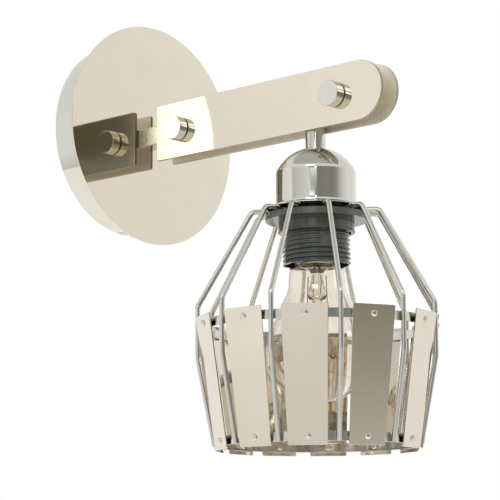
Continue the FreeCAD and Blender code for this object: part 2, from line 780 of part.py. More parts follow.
def make_bulb_cap():
    """Screw cap of the bulb: thin shell with a cone down to the black insulator."""
    cone_z = bulb_tip_z - bulb_contact_height - bulb_insulator_height
    inner = bulb_cap_radius - bulb_cap_wall
    profile = [(inner, bulb_rim_z), (bulb_cap_radius, bulb_rim_z),
               (bulb_cap_radius, cone_z - bulb_cap_wall * 4), (bulb_insulator_radius, cone_z),
               (bulb_insulator_radius - bulb_cap_wall, cone_z - bulb_cap_wall),
               (inner, cone_z - bulb_cap_wall * 5)]
    return lathe(profile, Vector(0, stem_y, 0), Z_AXIS)


def make_bulb_insulator():
    """Black glass cone between the cap and the tip contact."""
    cone_z = bulb_tip_z - bulb_contact_height - bulb_insulator_height
    tip_z = bulb_tip_z - bulb_contact_height
    profile = [(0, cone_z), (bulb_insulator_radius, cone_z), (bulb_contact_radius, tip_z), (0, tip_z)]
    return lathe(profile, Vector(0, stem_y, 0), Z_AXIS)


def make_bulb_contact():
    """Solder tip of the bulb."""
    base = bulb_tip_z - bulb_contact_height
    flat_radius = bulb_contact_radius * bulb_contact_share
    profile = [(0, base), (bulb_contact_radius, base), (flat_radius, bulb_tip_z), (0, bulb_tip_z)]
    return lathe(profile, Vector(0, stem_y, 0), Z_AXIS)


def make_bulb_mount():
    """Glass mount: a flare in the neck, a pinched tube and a thin rod down to the filaments."""
    flare_radius = bulb_root_radius - bulb_wall - fit_clearance
    pinch_low_z = mount_tube_low_z - mount_rod_radius
    profile = [(0, bulb_rim_z), (flare_radius, bulb_rim_z), (mount_tube_radius, mount_tube_top_z),
               (mount_tube_radius, mount_tube_low_z), (mount_rod_radius, pinch_low_z),
               (mount_rod_radius, pinch_low_z - mount_rod_length), (0, pinch_low_z - mount_rod_length)]
    return lathe(profile, Vector(0, stem_y, 0), Z_AXIS)


def make_filaments():
    """Straight filament sticks round the glass rod, each between two thin support wires."""
    top_z = mount_tube_low_z - filament_radius * 2
    bottom_z = top_z - filament_length
    wire_reach = mount_tube_radius + filament_wire_radius + fit_clearance
    rod_reach = mount_rod_radius + filament_wire_radius + fit_clearance
    sticks = []
    for k in range(filament_count):
        turn = filament_first_turn + 360 / filament_count * k
        top = lamp_point(filament_top_spread, top_z, turn)
        bottom = lamp_point(filament_bottom_spread, bottom_z, turn)
        stick = rod(filament_radius, top, bottom)
        wire_start = lamp_point(wire_reach, mount_tube_top_z - filament_radius, turn)
        wire_end = lamp_point(rod_reach, bottom_z + filament_radius * 2, turn)
        upper_wire = rod(filament_wire_radius, wire_start, top)
        lower_wire = rod(filament_wire_radius, bottom, wire_end)
        sticks.append(stick.fuse(upper_wire).fuse(lower_wire))
    return Part.Compound(sticks)


def make_leads():
    """Two insulated leads from the terminal block through nipple, tube and stem to the insert."""
    leads = []
    block_y = -strap_thickness - block_depth / 2
    for side in (-1, 1):
        start = Vector(side * block_way_spacing, block_y, block_place + block_height / 4)
        drop = Vector(side * block_way_spacing, block_y, block_place - lead_bend)
        entry = Vector(side * lead_side, block_y - lead_bend, arm_z)
        corner = Vector(side * lead_side, stem_y, arm_z)
        foot = Vector(side * lead_side, stem_y, cup_top_z - spigot_length - lead_bend)
        insert_side = side * insert_bore_radius / 2
        turn_in = Vector(insert_side, stem_y, cup_top_z - spigot_length - lead_bend * 2)
        end = Vector(insert_side, stem_y, insert_floor_z + insert_floor / 2)
        leads.append(swept_rod(lead_radius, [start, drop, entry, corner, foot, turn_in, end],
                               [lead_bend / 2] * 5))
    return Part.Compound(leads)


def main():
    os.makedirs("parts", exist_ok=True)
    save("wall_strap", make_wall_strap())
    save("strap_screws", make_strap_screws())
    save("canopy_cup", make_canopy_cup())
    save("face_disc", make_face_disc())
    save("terminal_block", make_terminal_block())
    save("root_nipple", make_root_nipple())
    save("root_nut", make_root_nut())
    save("arm_tube", make_arm_tube())
    save("front_bar", make_bar(-1))
    save("back_bar", make_bar(1))
    save("knob_collars", make_knob_collars())
    save("front_knob_near", make_knob(-1, near_knob_y))
    save("front_knob_far", make_knob(-1, far_knob_y))
    save("back_knob_near", make_knob(1, near_knob_y))
    save("back_knob_far", make_knob(1, far_knob_y))
    save("stem", make_stem())
    save("lamp_cup", make_lamp_cup())
    save("lock_nut", make_lock_nut())
    save("holder_cap", make_holder_cap())
    save("holder_skirt", make_holder_skirt())
    save("holder_insert", make_holder_insert())
    save("screw_shell", make_screw_shell())
    save("centre_contact", make_centre_contact())
    save("retaining_ring", make_retaining_ring())
    save("cage_plate", make_cage_plate())
    for k, turn in enumerate(wire_turns):
        save("cage_wire_%02d" % (k + 1), make_cage_wire(turn))
    save("upper_hoop", make_hoop(upper_hoop_radius, upper_hoop_low_z))
    save("lower_hoop", make_hoop(lower_hoop_radius, lower_hoop_low_z))
    for k, turn in enumerate(plate_turns):
        save("mirror_plate_%02d" % (k + 1), make_plate(turn))
    save("upper_rivets", make_rivets(upper_hoop_low_z))
    save("lower_rivets", make_rivets(lower_hoop_low_z))
    save("bulb_glass", make_bulb_glass())
    save("bulb_cap", make_bulb_cap())
    save("bulb_insulator", make_bulb_insulator())
    save("bulb_contact", make_bulb_contact())
    save("bulb_mount", make_bulb_mount())
    save("led_filaments", make_filaments())
    save("lamp_leads", make_leads())


main()
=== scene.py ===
import bmesh
import bpy
import json
import math
from mathutils import Matrix, Vector


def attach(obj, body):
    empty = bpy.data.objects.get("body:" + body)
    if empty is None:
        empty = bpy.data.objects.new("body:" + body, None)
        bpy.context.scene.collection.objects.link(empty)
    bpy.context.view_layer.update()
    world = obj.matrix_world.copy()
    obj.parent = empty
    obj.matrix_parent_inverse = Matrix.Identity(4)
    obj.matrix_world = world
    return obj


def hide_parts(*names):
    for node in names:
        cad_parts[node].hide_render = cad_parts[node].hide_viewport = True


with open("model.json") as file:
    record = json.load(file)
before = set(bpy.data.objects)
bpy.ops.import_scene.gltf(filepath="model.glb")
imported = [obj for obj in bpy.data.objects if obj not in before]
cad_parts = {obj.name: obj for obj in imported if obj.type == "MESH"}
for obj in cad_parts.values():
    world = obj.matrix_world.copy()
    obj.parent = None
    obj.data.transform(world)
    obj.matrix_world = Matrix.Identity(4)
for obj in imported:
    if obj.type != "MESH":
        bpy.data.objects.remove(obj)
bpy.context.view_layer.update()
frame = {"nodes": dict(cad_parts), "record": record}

# Sizes in millimetres, as on the lamp
MM = 0.001
lamp_y = -159.0
arm_z = -1.8
disc_radius = 70.0
disc_front = -25.0
disc_back = -24.0
disc_hole_radius = 4.05
disc_edge = 0.25
bar_half_width = 17.5
bar_thickness = 2.0
bar_inner = 6.0
bar_near = -34.8
bar_far = -215.0
bar_corner = 1.5
bar_edge = 0.2
bar_skin = 0.05
stud_radius = 2.5
stud_hole_radius = 2.55
near_knob_y = -54.9
far_knob_y = -180.75
knob_radius = 7.5
knob_collar_radius = 6.2
knob_collar_length = 0.5
knob_cap_length = 6.3
knob_stud_depth = 5.3
knob_edge = 0.45
stem_radius = 5.9
stem_bore = 3.0
stem_top = -7.8
spigot_radius = 5.0
spigot_low = -46.8
stem_edge = 0.25
cup_top = -30.8
cup_wall = 0.8
cup_hole_radius = 5.05
cup_flat_radius = 8.3
cup_crease = -43.5
cup_low = -63.6
cup_radius = 22.7
cup_edge = 0.25
cup_flare = 0.4
cup_flare_height = 2.4
cup_crease_run = 1.8
cup_dome_share = 0.7
cup_rise_share = 0.67
shoulder_z = -64.8
skirt_crest = 19.75
skirt_upper_crest = 19.35
skirt_root = 18.4
skirt_inner = 17.6
skirt_neck_radius = 19.85
skirt_neck_top = -56.8
skirt_low = -98.2
skirt_pitch = 2.7
skirt_full_height = 8.6
skirt_flat_width = 7.4
skirt_flat_turn = -118
skirt_slack = 0.05
ring_bore = 20.05
ring_edge = 0.35
flange_radius = 29.7
flange_top = -68.65
flange_low = -72.45
hub_radius = 22.5
hub_low = -79.65
hub_edge = 0.8
hub_lip = 0.35
plate_ring_radius = 29.5
plate_ring_low = -65.6
plate_ring_edge = 0.2
hoop_upper_radius = 67.5
hoop_upper_low = -136.8
hoop_lower_radius = 58.0
hoop_lower_low = -202.7
hoop_height = 5.3
hoop_wall = 0.8
hoop_edge = 0.2
wire_radius = 1.5
wire_path = ((22.9, -67.1), (37.5, -67.1), (69.0, -122.3), (69.0, -152.5), (59.5, -202.7))
wire_bends = (4.5, 7.0, 14.0)
weld_reach = 28.4
weld_radius = 1.8
weld_shares = (1.2, 1.15, 0.45)
sheet_rise = 2.4
sheet_fall = 2.2
sheet_span_turn = 21.7
sheet_thickness = 0.8
sheet_corner = 0.8
sheet_edge = 0.12
bulb_radius = 30.0
bulb_crown = -178.5
bulb_shoulder_turn = 24
bulb_neck_radius = 16.6
bulb_rim = -97.5
bulb_wall = 0.8
bulb_cap_radius = 13.1
bulb_cap_root = 12.3
bulb_cap_inner = 11.8
cap_pitch = 3.6
cap_top = -79.0
cap_shoulder_radius = 9.0
cap_cone_drop = 2.0
cap_wall = 0.5
mount_turn = -50
mount_pinch_top = -109.5
mount_pinch_run = 8
mount_rod_radius = 1.5
stick_count = 4
stick_radius = 1.0
stick_top = -120.0
stick_low = -157.0
stick_top_spread = 6.2
stick_low_spread = 4.4
stick_first_turn = 18
ferrule_length = 1.6
ferrule_lap = 0.2
ferrule_share = 0.72
stick_wire_radius = 0.35
stick_wire_root = (5.6, -104.5)
stick_wire_foot = (1.9, -155.0)
screw_radius = 2.0
screw_edge = 0.12
recess_width = 0.9
recess_turn = 20
side_screw_y = -8.0
side_screw_seat = 61.5
side_screw_length = 7.5
side_head_radius = 3.6
side_head_height = 2.0
earth_screw_z = -24.0
strap_front = -1.5
earth_head_radius = 3.8
earth_head_height = 2.6
washer_bore_radius = 2.1
washer_radius = 4.6
washer_thickness = 0.8
washer_lip = 0.6
washer_edge = 0.08

# Profiles as (radius, height): the rivet's from its head's seat, the others' as on the lamp
rivet_profile = [
    (0.6, -0.8), (0.6, -3.25), (1.44, -3.25), (1.8, -2.8), (1.62, -2.35), (1.2, -2.35), (1.2, 0), (1.9, 0),
    (1.862, 0.308), (1.729, 0.616), (1.52, 0.88), (1.178, 1.023), (0.798, 1.0835), (0.475, 1.1),
]
throat_profile = [(16.2, -101.7), (15.9, -100.5), (14.6, -99), (12.75, -97.8), (12.55, -96.9), (12.55, -93.5)]
mount_profile = [
    (0.35, -117.7), (4.52, -115.5), (2.6, -103.5), (5.8, -99.9), (10.9, -97.5), (11.6, -97.5), (7.656, -99.5),
    (4.3, -101.7), (3.3, -103.5), (3.8, -108.5), (5.1, -113.5), (5.5, -116), (4.7, -118), (1.5, -119),
    (1.5, -154.9), (0.75, -155.5),
]

# Turns of the plates and wires about the lamp's upright axis, in degrees from +X towards +Y
plate_turns = (5, 35, 64.5, 92.5, 121.5, 150.5, 184, 214.5, 247, 282, 308.5, 336)
wire_turns = (20, 50, 78.5, 106, 137, 170.5, 199, 231, 263.5, 295, 322, 350)

# Shares of a thread's pitch: the root, the flank out, the crest, the flank in, and the root again
thread_shares = (0.16, 0.26, 0.22, 0.26, 0.10)

# The shade narrows towards its foot by this angle
cage_lean = math.atan2(hoop_upper_radius - hoop_lower_radius, hoop_upper_low - hoop_lower_low)


def linear(hex_colour):
    """Linear colour of an sRGB hex value."""
    channels = [int(hex_colour[i:i + 2], 16) / 255 for i in (1, 3, 5)]
    return [c / 12.92 if c <= 0.04045 else ((c + 0.055) / 1.055) ** 2.4 for c in channels] + [1.0]


def add(tree, kind, settings, links={}):
    """Add a node: capitalised names and numbers are sockets, other names are the node's own settings."""
    node = tree.nodes.new(kind)
    for name, value in settings.items():
        if isinstance(name, int) or name[0].isupper():
            node.inputs[name].default_value = value
        else:
            setattr(node, name, value)
    for name, socket in links.items():
        tree.links.new(socket, node.inputs[name])
    return node


def limits(start, end, low=0, high=1):
    """Settings that map start..end onto low..high."""
    return {"From Min": start, "From Max": end, "To Min": low, "To Max": high}


def new_material(name):
    """Empty material, its tree, and object coordinates in metres."""
    material = bpy.data.materials.new(name)
    material.use_nodes = True
    tree = material.node_tree
    tree.nodes.clear()
    return material, tree, add(tree, "ShaderNodeTexCoord", {}).outputs["Object"]


def surface(tree, kind, settings, links):
    """Add a shader and join it to the material's output."""
    shader = add(tree, kind, settings, links)
    add(tree, "ShaderNodeOutputMaterial", {}, {"Surface": shader.outputs[0]})


def patchy(name, hexes, noises, rough=None, relief=None, fixed={}, edge=(0.3, 0.7), wiped=None, change=None):
    """Finish that drifts in patches between two colours and two roughnesses, with a fine relief.

    Each noise gives the size of its blotches in millimetres, its detail and its graininess. Roughness has the
    colour's noise where it has none of its own, and relief has that of the roughness. The relief is a depth in
    millimetres and a strength, wiped stretches the roughness along the axes, and change alters the links last.
    """
    material, tree, place = new_material(name)
    fields = {}
    for use, (size_mm, detail, grain) in noises.items():
        spot = place
        if use == "rough" and wiped:
            spot = add(tree, "ShaderNodeMapping", {"Scale": wiped}, {"Vector": place}).outputs[0]
        settings = {"Scale": 1 / (size_mm * MM), "Detail": detail, "Roughness": grain}
        fields[use] = add(tree, "ShaderNodeTexNoise", settings, {"Vector": spot}).outputs["Fac"]
    share = add(tree, "ShaderNodeMapRange", limits(*edge), {"Value": fields["tint"]}).outputs["Result"]
    colours = {"data_type": "RGBA", 6: linear(hexes[0]), 7: linear(hexes[1])}
    links = {"Base Color": add(tree, "ShaderNodeMix", colours, {0: share}).outputs[2]}
    field = fields.get("rough", fields["tint"])
    if rough:
        settings = limits(0.3, 0.7, *rough)
        links["Roughness"] = add(tree, "ShaderNodeMapRange", settings, {"Value": field}).outputs["Result"]
    if relief:
        settings = {"Distance": relief[0] * MM, "Strength": relief[1]}
        height = {"Height": fields.get("relief", field)}
        links["Normal"] = add(tree, "ShaderNodeBump", settings, height).outputs["Normal"]
    if change:
        change(tree, place, links)
    surface(tree, "ShaderNodeBsdfPrincipled", fixed, links)
    return material


def overlaid(tree, links, value, start, end, hex_colour, rough=None):
    """Another colour, and roughness, where a value is up to its start, fading out towards its end."""
    share = add(tree, "ShaderNodeMapRange", limits(start, end, 1, 0), {"Value": value}).outputs["Result"]
    tint = {"data_type": "RGBA", 7: linear(hex_colour)}
    links["Base Color"] = add(tree, "ShaderNodeMix", tint, {0: share, 6: links["Base Color"]}).outputs[2]
    if rough:
        links["Roughness"] = add(tree, "ShaderNodeMix", {3: rough}, {0: share, 2: links["Roughness"]}).outputs[0]


def bar_faces(tree, place, links):
    """The faces against the tube were left as rolled, and the cut edges are painted a dull dark olive, a painted
    dark reflection, with more roughness.
    """
    facing = add(tree, "ShaderNodeNewGeometry", {}).outputs["True Normal"]
    inside = (place, (bar_inner + bar_skin) * MM, (bar_inner + bar_skin * 3) * MM, "#F4EDDF", 0.5)
    # The second entry paints the cut edges dark olive as a painted dark reflection, not a colour of the steel.
    for source, start, end, hex_colour, rough in (inside, (facing, 0.55, 0.95, "#97927F", 0.4)):
        across = add(tree, "ShaderNodeSeparateXYZ", {}, {"Vector": source}).outputs["X"]
        reach = add(tree, "ShaderNodeMath", {"operation": "ABSOLUTE"}, {0: across}).outputs[0]
        overlaid(tree, links, reach, start, end, hex_colour, rough)


def bare_inside(tree, place, links):
    """The cap is nickelled on the outside only: inside, the brass is bare."""
    settings = {"Location": (0, -lamp_y * MM, 0), "Scale": (1, 1, 0)}
    centred = add(tree, "ShaderNodeMapping", settings, {"Vector": place}).outputs[0]
    reach = add(tree, "ShaderNodeVectorMath", {"operation": "LENGTH"}, {0: centred}).outputs["Value"]
    overlaid(tree, links, reach, (bulb_cap_inner + 0.1) * MM, (bulb_cap_inner + 0.3) * MM, "#D99A45")


metal = {"Metallic": 1}


def mirror_steel(name, wave_mm, change=None):
    """Stainless sheet polished to a mirror, faintly wavy, with fine wipe marks. Its warm beige tint, warmer than
    chrome, is a painted reflection of warm surroundings.
    """
    noises = {"tint": (22, 3, 0.5), "rough": (5, 6, 0.7), "relief": (30, 0, 0.5)}
    # Both colours are tinted warm beige as a painted reflection of warm surroundings.
    return patchy(name, ("#D9D1C1", "#D6CEBE"), noises, (0.03, 0.07), (wave_mm, 0.6), metal, wiped=(6, 6, 1),
                  change=change)


def moulded_plastic(name, hexes, grain_mm, rough):
    """Moulded plastic: even colour with a dry, slightly mottled skin."""
    noises = {"tint": (grain_mm * 12, 3, 0.5), "rough": (grain_mm, 3, 0.5)}
    return patchy(name, hexes, noises, rough, (0.002, 0.4), {"IOR": 1.55})


def braided_sleeve():
    """Glass-fibre sleeve of the leads: off-white plaited threads."""
    material, tree, place = new_material("braided_glass_sleeve")
    settings = {"Scale": 1 / (1.6 * MM), "Distortion": 1.5, "wave_type": "BANDS", "bands_direction": "DIAGONAL"}
    threads = add(tree, "ShaderNodeTexWave", settings, {"Vector": place}).outputs["Fac"]
    colours = {"data_type": "RGBA", 6: linear("#C9C1AE"), 7: linear("#EAE5D8")}
    tint = add(tree, "ShaderNodeMix", colours, {0: threads}).outputs[2]
    relief = add(tree, "ShaderNodeBump", {"Distance": 0.15 * MM, "Strength": 1}, {"Height": threads})
    links = {"Base Color": tint, "Normal": relief.outputs["Normal"]}
    surface(tree, "ShaderNodeBsdfPrincipled", {"Roughness": 0.85}, links)
    return material


finishes = {
    # Chromium plate on buffed brass: a neutral mirror, with a breath of haze where hands have wiped it
    "polished_chrome": patchy("polished_chrome_plate", ("#D2D1C8", "#C9C8BF"),
                              {"tint": (34, 3, 0.5), "rough": (6, 6, 0.65)}, (0.03, 0.065), fixed=metal,
                              wiped=(1, 5, 5)),
    "mirror_plate": mirror_steel("mirror_steel_sheet", 0.08),
    "bar_steel": mirror_steel("mirror_steel_bar", 0.02, bar_faces),
    # Chromium on drawn steel wire and strip: bright, with a little haze in patches
    "chromed_wire": patchy("chromed_steel_wire", ("#D2D1CA", "#C8C7C0"), {"tint": (9, 3, 0.6)}, (0.10, 0.15),
                           fixed=metal),
    # Pressed steel under bluish zinc: satin, with the cloudy patches of the plating bath
    "zinc_steel": patchy("zinc_plated_steel", ("#BFC2C2", "#9DA2A6"),
                         {"tint": (7, 6, 0.6), "relief": (1.2, 4, 0.5)}, (0.28, 0.42), (0.02, 0.6), metal),
    # Black phenolic moulding: charcoal and satin, faintly mottled
    "black_plastic": moulded_plastic("phenolic_moulding", ("#50544E", "#4A4E48"), 3, (0.16, 0.24)),
    # White nylon moulding: milky and dull
    "white_plastic": moulded_plastic("white_nylon", ("#E6E4DC", "#DAD7CC"), 0.6, (0.41, 0.49)),
    # Fired ceramic with a thin glaze: off-white with pin specks
    "ceramic": patchy("glazed_ceramic", ("#E4DFD3", "#C9BFA9"), {"tint": (0.9, 2, 0.5)}, (0.2, 0.4),
                      fixed={"IOR": 1.52}, edge=(0.6, 0.75)),
    "lead_sleeve": braided_sleeve(),
    # Rolled brass: golden, a little tarnished in cloudy patches
    "brass": patchy("rolled_brass", ("#DDA04A", "#BC7E33"), {"tint": (5, 5, 0.5)}, (0.18, 0.34), fixed=metal),
    # Nickelled brass of the bulb's cap: pale grey with rubbed crests
    "nickel": patchy("nickelled_brass", ("#CFC8BA", "#B2AA9A"), {"tint": (2.5, 5, 0.6)}, (0.14, 0.3),
                     fixed=metal, change=bare_inside),
    # Drawn nickel wire and ferrules inside the bulb: grey and smooth
    "nickel_wire": patchy("nickel_wire", ("#A8A396", "#8D887C"), {"tint": (1.5, 3, 0.5)}, (0.2, 0.35),
                          fixed=metal),
    # Tin solder, melted on: dull silver with a frozen, lumpy skin
    "solder": patchy("soft_solder", ("#A9A8A2", "#C3C2BC"), {"tint": (1.5, 3, 0.5)}, (0.3, 0.5), (0.2, 1), metal),
    # Black cap glass, pressed: shiny, nearly black, with small flow ripples
    "black_glass": patchy("black_cap_glass", ("#0E0E10", "#1C1B1F"), {"tint": (2, 2, 0.5)}, relief=(0.1, 1),
                          fixed={"Roughness": 0.12, "IOR": 1.6}, edge=(0, 1)),
    # Clear blown glass of the bulb: almost without colour, with the faintest waves from blowing
    "clear_glass": patchy("clear_blown_glass", ("#F2EDE4", "#F5F1EA"),
                          {"tint": (30, 1, 0.5), "relief": (20, 0, 0.5)}, relief=(0.05, 0.4),
                          fixed={"Roughness": 0, "IOR": 1.5, "Transmission Weight": 1}, edge=(0, 1)),
    # Yellow phosphor in silicone, cast on the light sticks: matt, a little grainy
    "phosphor": patchy("phosphor_coating", ("#F2D08A", "#E3B968"), {"tint": (0.5, 3, 0.5)}, relief=(0.05, 1),
                       fixed={"Roughness": 0.55, "Subsurface Weight": 0.2,
                              "Subsurface Radius": (0.0006, 0.0004, 0.0002)}),
}


def deselect():
    """Leave edit mode and select nothing."""
    if bpy.context.object and bpy.context.object.mode != "OBJECT":
        bpy.ops.object.mode_set(mode="OBJECT")
    bpy.ops.object.select_all(action="DESELECT")


def choose(piece):
    """Make a piece active and the only one selected."""
    deselect()
    bpy.context.view_layer.objects.active = piece
    piece.select_set(True)


def edit(piece):
    """Open one piece in edit mode with nothing selected."""
    choose(piece)
    bpy.ops.object.mode_set(mode="EDIT")
    bpy.ops.mesh.select_all(action="DESELECT")


def each_vertex(piece, change):
    """Pass every vertex of the piece in edit mode to a function that changes it."""
    mesh = bmesh.from_edit_mesh(piece.data)
    for vertex in mesh.verts:
        change(vertex)
    mesh.select_flush(True)
    bmesh.update_edit_mesh(piece.data)


def pick(piece, test):
    """Select the vertices of the piece in edit mode that pass the test."""
    each_vertex(piece, lambda vertex: setattr(vertex, "select", test(vertex.co)))


def reach_of(co):
    """Distance of a place from the Z axis."""
    return math.hypot(co.x, co.y)


def set_reach(vertex, radius):
    """Move a vertex straight out or in to a radius in millimetres about Z."""
    share = radius * MM / reach_of(vertex.co)
    vertex.co.x *= share
    vertex.co.y *= share


def apply_modifier(piece, kind, settings):
    """Put a modifier on a piece and apply it."""
    choose(piece)
    modifier = piece.modifiers.new(kind.lower(), kind)
    for name, value in settings.items():
        setattr(modifier, name, value)
    bpy.ops.object.modifier_apply(modifier=modifier.name)


def cut_away(piece, cutter):
    """Take a cutter's shape out of a piece, and the cutter out of the scene."""
    apply_modifier(piece, "BOOLEAN", {"object": cutter, "operation": "DIFFERENCE"})
    bpy.data.objects.remove(cutter)


def thicken(piece, wall):
    """Give a shell its wall, inwards."""
    apply_modifier(piece, "SOLIDIFY", {"thickness": wall * MM, "offset": -1.0, "use_even_offset": True})
    tidy(piece)


def tidy(piece):
    """Merge doubles and turn the faces outwards."""
    edit(piece)
    bpy.ops.mesh.select_all(action="SELECT")
    bpy.ops.mesh.remove_doubles(threshold=0.00001)
    bpy.ops.mesh.normals_make_consistent(inside=False)
    deselect()


def smooth(piece, angle):
    """Shade smooth all but the edges sharper than an angle in degrees."""
    choose(piece)
    bpy.ops.object.shade_smooth_by_angle(angle=math.radians(angle))


def soften(piece, width, segments=2, angle=30):
    """Round the sharp edges and shade the rest smooth."""
    if width:
        apply_modifier(piece, "BEVEL", {"width": width * MM, "segments": segments, "limit_method": "ANGLE",
                                        "angle_limit": math.radians(angle), "harden_normals": False})
    smooth(piece, angle)
    apply_modifier(piece, "WEIGHTED_NORMAL", {"keep_sharp": True, "weight": 50})


def close_ends(operator, **settings):
    """Select the open edges of the piece in edit mode and close them with an operator."""
    bpy.ops.mesh.select_mode(type="EDGE")
    bpy.ops.mesh.select_all(action="DESELECT")
    bpy.ops.mesh.select_non_manifold()
    operator(**settings)
    bpy.ops.mesh.select_mode(type="VERT")


def turned(name, profile, steps=96, closed=True):
    """Turned piece about Z: a circle extruded and resized along (radius, height) steps, in millimetres."""
    deselect()
    radius, height = profile[0]
    bpy.ops.mesh.primitive_circle_add(vertices=steps, radius=radius * MM, location=(0, 0, height * MM))
    piece = bpy.context.object
    piece.name = name
    bpy.ops.object.transform_apply()
    bpy.ops.object.mode_set(mode="EDIT")
    bpy.ops.mesh.select_all(action="SELECT")
    for next_radius, next_height in profile[1:]:
        rise = (next_height - height) * MM
        ratio = next_radius / radius
        bpy.ops.mesh.extrude_region_move(TRANSFORM_OT_translate={"value": (0, 0, rise)})
        bpy.ops.transform.resize(value=(ratio, ratio, 1), center_override=(0, 0, 0))
        radius, height = next_radius, next_height
    if closed:
        close_ends(bpy.ops.mesh.bridge_edge_loops)
    tidy(piece)
    return piece


def band(inner, outer, low, high):
    """Profile of a plain ring, as (radius, height) steps."""
    return [(inner, low), (outer, low), (outer, high), (inner, high)]


def capped(piece):
    """Close the open ends of a turned piece with flat ends."""
    edit(piece)
    close_ends(bpy.ops.mesh.fill_holes, sides=0)
    tidy(piece)


def place_piece(piece, matrix):
    """Move a piece to its place and keep the place in its mesh."""
    choose(piece)
    piece.matrix_world = matrix
    bpy.ops.object.transform_apply()


def copied(piece, name, matrix):
    """Copy of a piece with its own mesh, put in another place."""
    twin = piece.copy()
    twin.data = piece.data.copy()
    twin.name = name
    bpy.context.collection.objects.link(twin)
    place_piece(twin, matrix)
    return twin


def joined(pieces, name):
    """Several pieces made one."""
    choose(pieces[0])
    for piece in pieces:
        piece.select_set(True)
    bpy.ops.object.join()
    pieces[0].name = name
    return pieces[0]


def dress(piece, finish, body, *nodes, slot=None):
    """Give a piece its finish, its body and the nodes it stands for. Without a finish it keeps its own."""
    if finish:
        piece.data.materials.clear()
        piece.data.materials.append(finishes[finish])
    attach(piece, body)
    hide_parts(*nodes)


def along_x(side, x, y):
    """Frame whose Z points out along X on one side, at a place on the arm's axis."""
    return Matrix.Translation((x * MM, y * MM, arm_z * MM)) @ Matrix.Rotation(side * math.pi / 2, 4, "Y")


def on_lamp(turn=0):
    """Frame on the lamp's upright axis, turned by degrees."""
    return Matrix.Translation((0, lamp_y * MM, 0)) @ Matrix.Rotation(math.radians(turn), 4, "Z")


def stand(piece, finish, body, node):
    """Put a piece on the lamp's axis and dress it."""
    place_piece(piece, on_lamp())
    dress(piece, finish, body, node)


def make_disc():
    """Mirror disc of the canopy, with its rounded edge."""
    disc = turned("mirror_disc", band(disc_hole_radius, disc_radius, -disc_back, -disc_front), 160)
    edit(disc)
    pick(disc, lambda co: reach_of(co) < disc_radius * MM / 2)
    bpy.ops.transform.translate(value=(0, arm_z * MM, 0))
    soften(disc, disc_edge, 3)
    place_piece(disc, Matrix.Rotation(math.pi / 2, 4, "X"))
    dress(disc, "mirror_plate", "lamp", "face_disc")


def make_bars():
    """Flat bars with one full round end: half a circle, its ends drawn out, filled, and given thickness."""
    deselect()
    round_y = bar_far + bar_half_width
    bpy.ops.mesh.primitive_circle_add(vertices=96, radius=bar_half_width * MM, location=(0, 0, 0))
    bar = bpy.context.object
    bar.name = "bar_model"
    edit(bar)
    pick(bar, lambda co: co.y > MM * bar_edge)
    bpy.ops.mesh.delete(type="VERT")
    pick(bar, lambda co: abs(co.y) < MM * bar_edge)
    bpy.ops.mesh.extrude_vertices_move(TRANSFORM_OT_translate={"value": (0, (bar_near - round_y) * MM, 0)})
    bpy.ops.mesh.select_all(action="SELECT")
    bpy.ops.mesh.edge_face_add()
    bpy.ops.mesh.extrude_region_move(TRANSFORM_OT_translate={"value": (0, 0, bar_thickness * MM)})
    bpy.ops.mesh.select_mode(type="EDGE")
    mesh = bmesh.from_edit_mesh(bar.data)
    for edge in mesh.edges:
        a, b = [v.co for v in edge.verts]
        edge.select = min(a.y, b.y) > (bar_near - round_y - bar_edge) * MM and abs(a.z - b.z) > MM * bar_edge
    bmesh.update_edit_mesh(bar.data)
    bpy.ops.mesh.bevel(offset=bar_corner * MM, segments=6, affect="EDGES")
    bpy.ops.mesh.select_mode(type="VERT")
    tidy(bar)
    for y in (near_knob_y, far_knob_y):
        deselect()
        bpy.ops.mesh.primitive_cylinder_add(vertices=48, radius=stud_hole_radius * MM, depth=bar_half_width * MM,
                                            location=(0, (y - round_y) * MM, 0))
        cut_away(bar, bpy.context.object)
    soften(bar, bar_edge)
    for side, word in ((-1, "front"), (1, "back")):
        twin = copied(bar, word + "_arm_bar", along_x(side, side * bar_inner, round_y))
        dress(twin, "bar_steel", "lamp", word + "_bar", slot="mirror_plate")
    bpy.data.objects.remove(bar)


def make_knobs():
    """Screw caps with their studs, and the thin collars that hold them off the bars."""
    knob = turned("knob_model", [(stud_radius, -knob_stud_depth), (stud_radius, 0), (knob_radius, 0),
                                 (knob_radius, knob_cap_length)], 96, closed=False)
    capped(knob)
    soften(knob, knob_edge, 4)
    collar = turned("collar_model", band(stud_hole_radius, knob_collar_radius, 0, knob_collar_length), 64)
    soften(collar, knob_edge / 8, 2)
    collars = []
    for side, word in ((-1, "front"), (1, "back")):
        for y, end in ((near_knob_y, "near"), (far_knob_y, "far")):
            seat = side * (bar_inner + bar_thickness)
            outer = seat + side * knob_collar_length
            node = word + "_knob_" + end
            twin = copied(knob, node + "_cap", along_x(side, outer, y))
            dress(twin, "polished_chrome", node + "_body", node)
            collars.append(copied(collar, "collar", along_x(side, seat, y)))
    dress(joined(collars, "knob_collar_set"), "polished_chrome", "lamp", "knob_collars")
    bpy.data.objects.remove(knob)
    bpy.data.objects.remove(collar)


def make_stem():
    """Turned stem between the arm and the cup."""
    stem = turned("stem_turning", [
        (stem_bore, stem_top), (stem_radius, stem_top), (stem_radius, cup_top), (spigot_radius, cup_top),
        (spigot_radius, spigot_low), (stem_bore, spigot_low)])
    soften(stem, stem_edge)
    stand(stem, "polished_chrome", "lamp", "stem")


def arc_points(centre, radius, start, end, count):
    """Points (radius, height) along an arc between two angles in degrees."""
    angles = [math.radians(start + (end - start) * k / count) for k in range(count + 1)]
    return [(centre[0] + radius * math.cos(a), centre[1] + radius * math.sin(a)) for a in angles]


